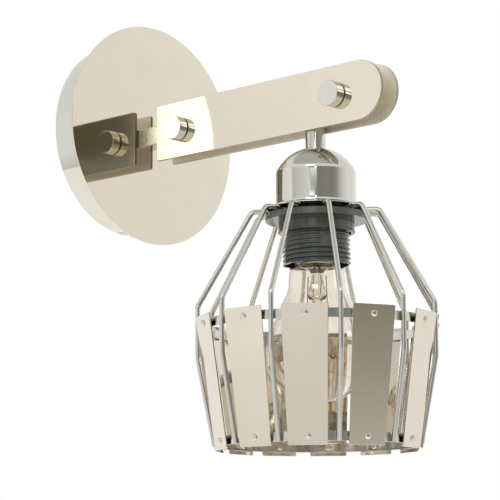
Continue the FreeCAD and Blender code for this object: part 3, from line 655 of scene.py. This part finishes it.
def circle_through(a, b, c):
    """Centre and radius of the circle through three points."""
    ax, ay, bx, by, cx, cy = *a, *b, *c
    d = 2 * (ax * (by - cy) + bx * (cy - ay) + cx * (ay - by))
    sa, sb, sc = ax * ax + ay * ay, bx * bx + by * by, cx * cx + cy * cy
    x = (sa * (by - cy) + sb * (cy - ay) + sc * (ay - by)) / d
    y = (sa * (cx - bx) + sb * (ax - cx) + sc * (bx - ax)) / d
    return (x, y), math.hypot(ax - x, ay - y)


def eased(start, corner, end, count):
    """Points of a soft bend from start to end round a corner."""
    points = []
    for k in range(count + 1):
        t = k / count
        points.append(tuple((1 - t) ** 2 * a + 2 * t * (1 - t) * c + t ** 2 * b
                            for a, c, b in zip(start, corner, end)))
    return points


def make_cup():
    """Spun cup: domed shoulder, a soft crease and a straight side that flares a little at its foot."""
    middle = (cup_radius * cup_dome_share, cup_crease + (cup_top - cup_crease) * cup_rise_share)
    centre, radius = circle_through((cup_flat_radius, cup_top), middle, (cup_radius, cup_crease))
    start = math.degrees(math.atan2(cup_top - centre[1], cup_flat_radius - centre[0]))
    end = math.degrees(math.atan2(cup_crease - centre[1], cup_radius - centre[0]))
    dome = arc_points(centre, radius, start, end, 18)
    shoulder = eased(dome[-2], dome[-1], (cup_radius, cup_crease - cup_crease_run), 5)
    foot = (cup_radius, cup_low + cup_flare_height)
    lip = eased(foot, (cup_radius, cup_low + cup_flare_height / 3), (cup_radius + cup_flare, cup_low), 4)
    cup = turned("spun_cup", [(cup_hole_radius, cup_top)] + dome[:-2] + shoulder + lip, 160, closed=False)
    thicken(cup, cup_wall)
    soften(cup, cup_edge, 3, 25)
    stand(cup, "polished_chrome", "lamp", "lamp_cup")


def threaded(name, crest, root, pitch, top, low, inner, steps=72):
    """Sleeve with an outside thread: one ridge screwed round, cut flat at both ends and given its bore."""
    deselect()
    bpy.ops.mesh.primitive_plane_add(size=MM, location=(root * MM, 0, (low - pitch) * MM))
    sleeve = bpy.context.object
    sleeve.name = name
    bpy.ops.object.transform_apply()
    edit(sleeve)
    bpy.ops.mesh.select_all(action="SELECT")
    bpy.ops.mesh.merge(type="CENTER")
    bpy.ops.mesh.select_all(action="SELECT")
    depth = (crest - root) * MM
    for out, rise_share in zip((0, depth, 0, -depth, 0), thread_shares):
        bpy.ops.mesh.extrude_vertices_move(TRANSFORM_OT_translate={"value": (out, 0, rise_share * pitch * MM)})
    turns = math.ceil((top - low) / pitch) + 2
    apply_modifier(sleeve, "SCREW", {"angle": 2 * math.pi, "screw_offset": pitch * MM, "iterations": turns,
                                     "steps": steps, "render_steps": steps, "use_merge_vertices": True,
                                     "merge_threshold": 0.00002, "axis": "Z"})
    for height, keep_above in ((low, True), (top, False)):
        edit(sleeve)
        bpy.ops.mesh.select_all(action="SELECT")
        bpy.ops.mesh.bisect(plane_co=(0, 0, height * MM), plane_no=(0, 0, 1), clear_inner=keep_above,
                            clear_outer=not keep_above)
    edit(sleeve)
    for end in (low, top):
        bpy.ops.mesh.select_all(action="DESELECT")
        pick(sleeve, lambda co: abs(co.z - end * MM) < MM * 0.001)
        bpy.ops.mesh.extrude_edges_move(TRANSFORM_OT_translate={"value": (0, 0, 0)})
        each_vertex(sleeve, lambda vertex: vertex.select and set_reach(vertex, inner))
    close_ends(bpy.ops.mesh.bridge_edge_loops)
    tidy(sleeve)
    return sleeve


def make_skirt():
    """Lampholder skirt: three full ridges at the mouth, lower ones above, broken by two pressed flats."""
    skirt = threaded("holder_thread_skirt", skirt_crest, skirt_root, skirt_pitch, shoulder_z, skirt_low,
                     skirt_inner)
    edit(skirt)
    half_flat = math.asin(skirt_flat_width / 2 / skirt_crest)

    def press(vertex):
        """Press a vertex of the ridges above the mouth in to the flats or the lower crests."""
        reach = reach_of(vertex.co)
        if vertex.co.z < (skirt_low + skirt_full_height) * MM or reach < (skirt_root - skirt_slack * 2) * MM:
            return
        turn = math.atan2(vertex.co.y, vertex.co.x) - math.radians(skirt_flat_turn)
        away = abs((turn + math.pi / 2) % math.pi - math.pi / 2)
        limit = skirt_root + skirt_slack if away < half_flat else skirt_upper_crest
        if reach > limit * MM:
            set_reach(vertex, limit)

    each_vertex(skirt, press)
    neck = turned("holder_neck", band(skirt_inner, skirt_neck_radius, shoulder_z, skirt_neck_top), 72)
    skirt = joined([skirt, neck], "holder_thread_skirt")
    soften(skirt, 0, 0, 40)
    stand(skirt, "black_plastic", "lamp", "holder_skirt")


def make_ring():
    """Retaining ring: wide flange under the wires, and a hub with a small lip at its lower edge."""
    lip = hub_low + hub_edge * 1.6
    side = hub_radius - hub_lip
    ring = turned("moulded_ring", [
        (ring_bore, flange_top), (flange_radius, flange_top), (flange_radius, flange_low), (side, flange_low),
        (side, lip), (hub_radius, lip - hub_lip), (hub_radius, hub_low + hub_lip),
        (hub_radius - hub_edge, hub_low), (ring_bore, hub_low)], 128)
    soften(ring, ring_edge, 3, 20)
    stand(ring, "black_plastic", "ring", "retaining_ring")


def make_plate_ring():
    """Thin flat ring that the wires are welded under, its edges rounded."""
    ring = turned("cage_top_ring", band(ring_bore, plate_ring_radius, plate_ring_low, shoulder_z), 128)
    soften(ring, plate_ring_edge, 3)
    stand(ring, "chromed_wire", "cage", "cage_plate")


def make_hoops():
    """Flat hoops of rolled strip with rounded edges."""
    for word, radius, low in (("upper", hoop_upper_radius, hoop_upper_low),
                              ("lower", hoop_lower_radius, hoop_lower_low)):
        hoop = turned(word + "_strip_hoop", band(radius - hoop_wall, radius, low, low + hoop_height), 160)
        soften(hoop, hoop_edge)
        stand(hoop, "chromed_wire", "cage", word + "_hoop")


def rounded(corners, bends, count=7):
    """Flat path through corners, each inner corner eased over its bend radius."""
    path = [corners[0]]
    for before, corner, after, bend in zip(corners, corners[1:], corners[2:], bends):
        before, corner, after = Vector(before), Vector(corner), Vector(after)
        incoming = (corner - before).normalized()
        outgoing = (after - corner).normalized()
        reach = bend * math.tan(incoming.angle(outgoing) / 2)
        path += eased(corner - incoming * reach, corner, corner + outgoing * reach, count)
    return path + [corners[-1]]


def bent_rod(name, radius, path, steps=24):
    """Round wire along a flat path of (reach, height): a filled circle extruded and turned step by step."""
    deselect()
    headings = [math.atan2(b[1] - a[1], b[0] - a[0]) for a, b in zip(path, path[1:])]
    bpy.ops.mesh.primitive_circle_add(vertices=steps, radius=radius * MM, fill_type="NGON",
                                      location=(path[0][0] * MM, 0, path[0][1] * MM),
                                      rotation=(0, math.pi / 2 - headings[0], 0))
    rod = bpy.context.object
    rod.name = name
    bpy.ops.object.transform_apply()
    bpy.ops.object.mode_set(mode="EDIT")
    bpy.ops.mesh.select_all(action="SELECT")
    heading = headings[0]
    for k in range(1, len(path)):
        step = Vector((path[k][0] - path[k - 1][0], 0, path[k][1] - path[k - 1][1])) * MM
        bpy.ops.mesh.extrude_region_move(TRANSFORM_OT_translate={"value": step})
        middle = (headings[k - 1] + headings[min(k, len(headings) - 1)]) / 2
        bpy.ops.transform.rotate(value=middle - heading, orient_axis="Y",
                                 center_override=(path[k][0] * MM, 0, path[k][1] * MM))
        heading = middle
    tidy(rod)
    soften(rod, 0, 0, 40)
    return rod


def make_wires():
    """Bent wires of the shade with their weld beads: one modelled, then copied to its twelve turns."""
    wire = bent_rod("wire_model", wire_radius, rounded(wire_path, wire_bends))
    deselect()
    bead_z = wire_path[0][1] + wire_radius / 2
    bpy.ops.mesh.primitive_uv_sphere_add(segments=20, ring_count=12, radius=weld_radius * MM,
                                         location=(weld_reach * MM, 0, bead_z * MM))
    bead = bpy.context.object
    bpy.ops.transform.resize(value=weld_shares, center_override=bead.location)
    bpy.ops.object.transform_apply()
    soften(bead, 0, 0, 60)
    wire = joined([wire, bead], "wire_model")
    for k, turn in enumerate(wire_turns):
        twin = copied(wire, "cage_rod_%02d" % (k + 1), on_lamp(turn))
        dress(twin, "chromed_wire", "cage", "cage_wire_%02d" % (k + 1))
    bpy.data.objects.remove(wire)


def lean_reach(height):
    """Distance of the shade's leaning side from the lamp's axis at a height."""
    return hoop_lower_radius + (height - hoop_lower_low) * math.tan(cage_lean)


def make_rivets():
    """Hollow rivets, domed outside and rolled over inside: one modelled, then set into both hoops."""
    rivet = turned("rivet_model", rivet_profile, 32, closed=False)
    capped(rivet)
    soften(rivet, 0, 0, 40)
    for word, low in (("upper", hoop_upper_low), ("lower", hoop_lower_low)):
        height = low + hoop_height / 2
        seat = Matrix.Translation(Vector((lean_reach(height), 0, height)) * MM)
        seat = seat @ Matrix.Rotation(math.pi / 2 + cage_lean, 4, "Y")
        seat = seat @ Matrix.Translation((0, 0, sheet_thickness * MM))
        rivets = [copied(rivet, "rivet", on_lamp(turn) @ seat) for turn in plate_turns]
        dress(joined(rivets, word + "_rivet_set"), "chromed_wire", "cage", word + "_rivets")
    bpy.data.objects.remove(rivet)


def make_sheets():
    """Mirror plates: one flat tapered sheet with rounded corners and edges, copied to its twelve places."""
    top_z = hoop_upper_low + hoop_height + sheet_rise
    low_z = hoop_lower_low - sheet_fall
    half_share = math.sin(math.radians(sheet_span_turn / 2))
    deselect()
    bpy.ops.mesh.primitive_plane_add(size=2 * MM, location=(0, 0, 0))
    sheet = bpy.context.object
    sheet.name = "sheet_model"
    edit(sheet)

    def spread(vertex):
        """Move a corner of the plane to its corner of the leaning plate."""
        height = top_z if vertex.co.y > 0 else low_z
        side = 1 if vertex.co.x > 0 else -1
        vertex.co = Vector((lean_reach(height), side * lean_reach(height) * half_share, height)) * MM

    each_vertex(sheet, spread)
    bpy.ops.mesh.select_all(action="SELECT")
    bpy.ops.mesh.bevel(offset=sheet_corner * MM, segments=4, affect="VERTICES")
    bpy.ops.mesh.select_all(action="SELECT")
    outward = Vector((math.cos(cage_lean), 0, -math.sin(cage_lean)))
    bpy.ops.mesh.extrude_region_move(TRANSFORM_OT_translate={"value": outward * sheet_thickness * MM})
    tidy(sheet)
    soften(sheet, sheet_edge, 2)
    for k, turn in enumerate(plate_turns):
        twin = copied(sheet, "mirror_sheet_%02d" % (k + 1), on_lamp(turn))
        dress(twin, "mirror_plate", "cage", "mirror_plate_%02d" % (k + 1))
    bpy.data.objects.remove(sheet)


def make_glass():
    """Blown envelope: round globe, shoulder and neck, tucked into the cap, with a real wall."""
    globe = arc_points((0, bulb_crown + bulb_radius), bulb_radius, -88, bulb_shoulder_turn, 22)
    slope = math.radians(bulb_shoulder_turn)
    reach, height = globe[-1]
    corner_z = height + (reach - bulb_neck_radius) / math.tan(slope)
    bend = bulb_neck_radius
    neck_centre = (bulb_neck_radius + bend, corner_z + bend * math.tan(slope / 2))
    neck = arc_points(neck_centre, bend, 180 + bulb_shoulder_turn, 180, 8)
    glass = turned("blown_envelope", globe + neck + throat_profile, 96, closed=False)
    edit(glass)
    pick(glass, lambda co: co.z < (bulb_crown + 0.05) * MM and reach_of(co) < 1.2 * MM)
    bpy.ops.mesh.edge_face_add()
    tidy(glass)
    thicken(glass, bulb_wall)
    soften(glass, 0, 0, 60)
    stand(glass, "clear_glass", "bulb", "bulb_glass")


def make_bulb_cap():
    """Threaded cap of the bulb and its shoulder down to the black glass."""
    cone_z = cap_top - cap_cone_drop
    cap = threaded("bulb_screw_cap", bulb_cap_radius, bulb_cap_root, cap_pitch, cone_z, bulb_rim, bulb_cap_inner)
    cone = turned("cap_cone", [
        (bulb_cap_root, cone_z), (cap_shoulder_radius, cap_top),
        (cap_shoulder_radius - cap_wall, cap_top - cap_wall), (bulb_cap_inner, cone_z - cap_wall)], 72)
    cap = joined([cap, cone], "bulb_screw_cap")
    soften(cap, 0, 0, 50)
    stand(cap, "nickel", "bulb", "bulb_cap")


def make_mount():
    """Glass mount: a flare sealed in the neck, a tube that widens and is pinched flat, and a thin rod."""
    mount = turned("glass_mount", mount_profile, 64, closed=False)
    capped(mount)
    edit(mount)

    def pinch(vertex):
        """Flatten the tube towards its foot, but not the rod."""
        share = min(1, max(0, (mount_pinch_top - vertex.co.z / MM) / mount_pinch_run))
        if reach_of(vertex.co) > (mount_rod_radius + 0.05) * MM:
            vertex.co.y *= 1 - share / 2

    each_vertex(mount, pinch)
    soften(mount, 0, 0, 70)
    place_piece(mount, on_lamp(mount_turn))
    dress(mount, "clear_glass", "bulb", "bulb_mount")


def rod_between(start, end, radius, steps, finish):
    """Thin round rod between two places in millimetres, with its finish."""
    deselect()
    run = (end - start) * MM
    bpy.ops.mesh.primitive_circle_add(vertices=steps, radius=radius * MM, fill_type="NGON", location=(0, 0, 0))
    rod = bpy.context.object
    bpy.ops.object.mode_set(mode="EDIT")
    bpy.ops.mesh.select_all(action="SELECT")
    bpy.ops.mesh.extrude_region_move(TRANSFORM_OT_translate={"value": (0, 0, run.length)})
    tidy(rod)
    place_piece(rod, Matrix.Translation(start * MM) @ run.to_track_quat("Z", "Y").to_matrix().to_4x4())
    rod.data.materials.append(finishes[finish])
    return rod


def make_sticks():
    """Light sticks with metal ends, hung between wires from the mount and from its rod."""
    sticks = []
    ends = []
    for k in range(stick_count):
        turn = math.radians(stick_first_turn + 360 / stick_count * k)
        across = Vector((math.cos(turn), math.sin(turn), 0))
        top, low, root, foot = (across * reach + Vector((0, 0, height)) for reach, height in (
            (stick_top_spread, stick_top), (stick_low_spread, stick_low), stick_wire_root, stick_wire_foot))
        along = (low - top).normalized()
        inset = along * ferrule_length
        sticks.append(rod_between(top + inset, low - inset, stick_radius, 20, "phosphor"))
        soften(sticks[-1], stick_radius / 3, 2, 50)
        for tip, away in ((top, along), (low, -along)):
            ends.append(rod_between(tip, tip + away * (ferrule_length + ferrule_lap),
                                    stick_radius * ferrule_share, 16, "nickel_wire"))
        ends.append(rod_between(root, top, stick_wire_radius, 10, "nickel_wire"))
        ends.append(rod_between(low, foot, stick_wire_radius, 10, "nickel_wire"))
    bundle = joined(sticks + ends, "light_sticks")
    place_piece(bundle, on_lamp())
    dress(bundle, None, "bulb", "led_filaments", slot="phosphor")
    smooth(bundle, 50)


def pan_screw(name, radius, height, length):
    """Pan-head screw with a cross recess, its head's seat at height 0 and its shank below."""
    screw = turned(name, [(screw_radius, -length), (screw_radius, 0), (radius, 0), (radius, height * 0.45),
                          (radius * 0.9, height * 0.78), (radius * 0.6, height)], 48, closed=False)
    capped(screw)
    for turn in (0, 90):
        deselect()
        bpy.ops.mesh.primitive_cube_add(size=1, location=(0, 0, height * MM))
        bar = bpy.context.object
        bpy.ops.transform.resize(value=(radius * 1.1 * MM, recess_width * MM, height * 1.1 * MM))
        bpy.ops.object.transform_apply()
        place_piece(bar, Matrix.Rotation(math.radians(turn + recess_turn), 4, "Z"))
        cut_away(screw, bar)
    soften(screw, screw_edge, 2, 35)
    return screw


def make_screws():
    """Cross-head screws through the canopy's rim, and the earth screw with its cup washer."""
    side = pan_screw("side_screw", side_head_radius, side_head_height, side_screw_length)
    screws = []
    for end, tilt in ((1, 0), (-1, math.pi)):
        spot = Matrix.Translation((0, side_screw_y * MM, end * side_screw_seat * MM))
        screws.append(copied(side, "side_screw", spot @ Matrix.Rotation(tilt, 4, "X")))
    bpy.data.objects.remove(side)
    outward = Matrix.Rotation(math.pi / 2, 4, "X")
    earth = pan_screw("earth_screw", earth_head_radius, earth_head_height, -strap_front + washer_thickness)
    spot = Matrix.Translation((0, (strap_front - washer_thickness) * MM, earth_screw_z * MM))
    place_piece(earth, spot @ outward)
    washer = turned("earth_washer", [
        (washer_bore_radius, 0), (washer_radius, 0), (washer_radius, washer_thickness * 0.6),
        (washer_radius - washer_lip, washer_thickness), (washer_bore_radius, washer_thickness)], 48)
    soften(washer, washer_edge, 2)
    place_piece(washer, Matrix.Translation((0, strap_front * MM, earth_screw_z * MM)) @ outward)
    dress(joined(screws + [earth, washer], "fixing_screws"), "zinc_steel", "lamp", "strap_screws")


for make in (make_disc, make_bars, make_knobs, make_stem, make_cup, make_skirt, make_ring, make_plate_ring,
             make_hoops, make_wires, make_rivets, make_sheets, make_glass, make_bulb_cap, make_mount, make_sticks,
             make_screws):
    make()

for row in frame["record"]["subparts"]:
    node = frame["nodes"][row["node"]]
    node.data.materials.clear()
    node.data.materials.append(finishes[row["material_slot"]])


# Stage, in metres: pale floor far below, a white surround, and cards that only reflections see
floor_width = 8
floor_place = (0, -0.5, -1.1)
screen_radius = 1.9
screen_half_height = 0.75
card_reach = 1.85
round_card_radius = 1.88


def seen_rays(tree):
    """1 for rays from the eye, from metal and through glass, and 0 for the rest."""
    path = add(tree, "ShaderNodeLightPath", {})
    seen = path.outputs["Is Camera Ray"]
    for kind in ("Is Glossy Ray", "Is Transmission Ray"):
        settings = {"operation": "ADD", "use_clamp": True}
        seen = add(tree, "ShaderNodeMath", settings, {0: seen, 1: path.outputs[kind]}).outputs[0]
    return seen


def lifted(tree, place, links):
    """The floor is lifted towards white where it is seen or mirrored."""
    links["Emission Color"] = links["Base Color"]
    lift = add(tree, "ShaderNodeMapRange", limits(0, 1, 0, 0.4), {"Value": seen_rays(tree)})
    links["Emission Strength"] = lift.outputs["Result"]


def make_floor():
    """Pale floor that keeps shadows."""
    deselect()
    bpy.ops.mesh.primitive_plane_add(size=floor_width, location=floor_place)
    floor = bpy.context.object
    floor.name = "studio_floor"
    floor.data.materials.append(patchy("pale_floor", ("#E8E6E2", "#EFEDE9"), {"tint": (300, 3, 0.5)},
                                       fixed={"Roughness": 0.9}, edge=(0, 1), change=lifted))


def new_card(name):
    """Name the new object as a card that only reflections see, and give it an empty material."""
    card = bpy.context.object
    card.name = name
    for view in ("camera", "diffuse", "shadow", "transmission"):
        setattr(card, "visible_" + view, False)
    material, tree, place = new_material(name)
    card.data.materials.append(material)
    return card, tree, place


# Shades of the room round the lamp, by turn in degrees from +X towards +Y
room_shades = (
    (-180, "#DBDBDB"), (-161, "#E9E9E9"), (-156.5, "#E4E4E4"), (-153.5, "#A6A9AC"), (-143, "#A0A3A6"),
    (-138, "#919797"), (-132, "#828985"), (-126, "#8B8B8B"), (-107, "#8D8F85"), (-101, "#8E8D83"),
    (-95, "#8C8B81"), (-86, "#92918A"), (-78, "#A5A39C"), (-68, "#C8C8C8"), (-61, "#DCDCDC"),
    (-52, "#E7E7E7"), (-45, "#EEEEEE"), (-38, "#F4F4F4"), (-25, "#F2F2F2"), (3, "#F0F0F0"), (33, "#FAFAFA"),
    (110, "#EEEEEE"), (131, "#EFEFEF"), (137, "#F3F3F3"), (140, "#F7F7F7"), (145, "#F9F9F9"),
    (149, "#DCDCDC"), (154.1, "#C8C8C8"), (160.9, "#D0D0D0"), (168.1, "#D5D5D5"), (180, "#DBDBDB"),
)


def make_room_card():
    """Round screen about the lamp, pale with darker stretches that lean a little, that only the metal sees."""
    deselect()
    bpy.ops.mesh.primitive_cylinder_add(vertices=96, radius=screen_radius, depth=screen_half_height * 2,
                                        end_fill_type="NOTHING", location=(0, lamp_y * MM, 0))
    bpy.ops.object.transform_apply()
    card, tree, place = new_card("round_screen")
    centred = add(tree, "ShaderNodeMapping", {"Location": (0, -lamp_y * MM, 0)}, {"Vector": place}).outputs[0]
    turn = add(tree, "ShaderNodeTexGradient", {"gradient_type": "RADIAL"}, {"Vector": centred}).outputs["Fac"]
    height = add(tree, "ShaderNodeSeparateXYZ", {}, {"Vector": place}).outputs["Z"]
    settings = limits(-screen_half_height, screen_half_height, -0.0346, 0.0134)
    lean = add(tree, "ShaderNodeMapRange", settings, {"Value": height}).outputs["Result"]
    leaning = add(tree, "ShaderNodeMath", {"operation": "ADD"}, {0: turn, 1: lean}).outputs[0]
    ramp = add(tree, "ShaderNodeValToRGB", {}, {"Fac": leaning})
    stops = ramp.color_ramp.elements
    for k, (angle, shade) in enumerate(room_shades):
        share = angle / 360 + 0.5
        stop = stops[0] if k == 0 else stops[-1] if k == len(room_shades) - 1 else stops.new(share)
        stop.position = share
        stop.color = linear(shade)
    links = {"Base Color": ramp.outputs["Color"]}
    overlaid(tree, links, height, -screen_half_height, -0.35, "#D6D6D6")
    surface(tree, "ShaderNodeEmission", {"Strength": 1.2}, {"Color": links["Base Color"]})


def make_card(name, hex_colour, strengths, turns, heights):
    """Upright card between two turns in degrees and two heights, its strength eased from foot to top."""
    deselect()
    bpy.ops.mesh.primitive_plane_add(size=2, location=(0, 0, 0))
    card, tree, place = new_card(name)
    edit(card)

    def spread(vertex):
        """Move a corner of the plane to its turn and height."""
        turn = math.radians(turns[0] if vertex.co.x < 0 else turns[1])
        height = heights[0] if vertex.co.y < 0 else heights[1]
        vertex.co = Vector((card_reach * math.cos(turn), card_reach * math.sin(turn) + lamp_y * MM, height))

    each_vertex(card, spread)
    deselect()
    height = add(tree, "ShaderNodeSeparateXYZ", {}, {"Vector": place}).outputs["Z"]
    rise = {**limits(*heights, *strengths), "interpolation_type": "SMOOTHSTEP"}
    strength = add(tree, "ShaderNodeMapRange", rise, {"Value": height}).outputs["Result"]
    surface(tree, "ShaderNodeEmission", {"Color": linear(hex_colour)}, {"Strength": strength})


def make_round_card(name, hex_colour, strength, height):
    """Round pale card above or below the lamp."""
    deselect()
    bpy.ops.mesh.primitive_circle_add(vertices=96, radius=round_card_radius, fill_type="NGON",
                                      location=(0, lamp_y * MM, height))
    bpy.ops.object.transform_apply()
    card, tree, place = new_card(name)
    surface(tree, "ShaderNodeEmission", {"Color": linear(hex_colour), "Strength": strength}, {})


make_floor()
make_room_card()
make_round_card("low_card", "#FFFCF6", 1.22, -0.76)
make_round_card("ceiling_card", "#CCCCC6", 1, 2.4)
make_card("strip_light", "#FFFFFF", (3.6, 3.6), (-142, -137.65), (0.385, 0.66))
make_card("cup_light", "#FFFFFF", (0.36, 2.2), (-154.5, -137.65), (0.305, 0.38))
make_card("thread_light", "#FFFFFF", (2.4, 2.4), (-158, -143), (0.19, 0.30))
make_card("soft_box", "#FFFFFF", (2.4, 2.4), (-172, -142), (0.86, 1.5))
make_card("dark_flag", "#6C6A5A", (1, 1), (-137.6, -131), (0.40, 0.66))
make_card("far_flag", "#7A7A6E", (1, 1), (56, 100), (0.12, 0.74))


def make_world():
    """White surround: full white to the eye, to metal and through glass, softer as light."""
    world = bpy.data.worlds.new("white_studio")
    bpy.context.scene.world = world
    world.use_nodes = True
    tree = world.node_tree
    tree.nodes.clear()
    strength = add(tree, "ShaderNodeMapRange", limits(0, 1, 0.5, 1), {"Value": seen_rays(tree)}).outputs["Result"]
    sky = add(tree, "ShaderNodeBackground", {"Color": (1, 1, 1, 1)}, {"Strength": strength})
    add(tree, "ShaderNodeOutputWorld", {}, {"Surface": sky.outputs[0]})


def make_lamp(name, place, size, watts):
    """Soft studio lamp aimed at the middle of the wall lamp."""
    data = bpy.data.lights.new(name, "AREA")
    data.shape = "DISK"
    data.size = size
    data.energy = watts
    lamp = bpy.data.objects.new(name, data)
    bpy.context.collection.objects.link(lamp)
    lamp.visible_glossy = False
    lamp.location = place
    aim = Vector((0, lamp_y * MM, -0.08)) - Vector(place)
    lamp.rotation_euler = aim.to_track_quat("-Z", "Y").to_euler()


make_world()
make_lamp("soft_key", (-1.6, -1.2, 1.3), 0.9, 26)
make_lamp("soft_fill", (1.4, -1.9, 0.7), 1.2, 14)

# Camera: yaw, pitch and roll in degrees, place in millimetres, focal length in pixels of a picture 500 wide
camera_turns = (-47.51, -9.36, -0.32)
camera_place = (-813.02, -851.27, -264.73)
camera_focal = 1866.4
picture_width = 500
sensor_width = 36


def make_camera():
    """Camera at the photograph's place: to the left of the lamp, a little below it."""
    yaw, pitch, roll = (math.radians(a) for a in camera_turns)
    back = Vector((math.sin(yaw) * math.cos(pitch), -math.cos(yaw) * math.cos(pitch), math.sin(pitch)))
    right = Vector((math.cos(yaw), math.sin(yaw), 0))
    up = back.cross(right)
    tilted_right = right * math.cos(roll) + up * math.sin(roll)
    tilted_up = up * math.cos(roll) - right * math.sin(roll)
    data = bpy.data.cameras.new("view")
    data.sensor_width = sensor_width
    data.lens = camera_focal / picture_width * sensor_width
    camera = bpy.data.objects.new("view", data)
    bpy.context.collection.objects.link(camera)
    turn = Matrix((tilted_right, tilted_up, back)).transposed().to_4x4()
    camera.matrix_world = Matrix.Translation(Vector(camera_place) * MM) @ turn
    bpy.context.scene.camera = camera


make_camera()
bpy.context.scene.view_settings.view_transform = "Standard"
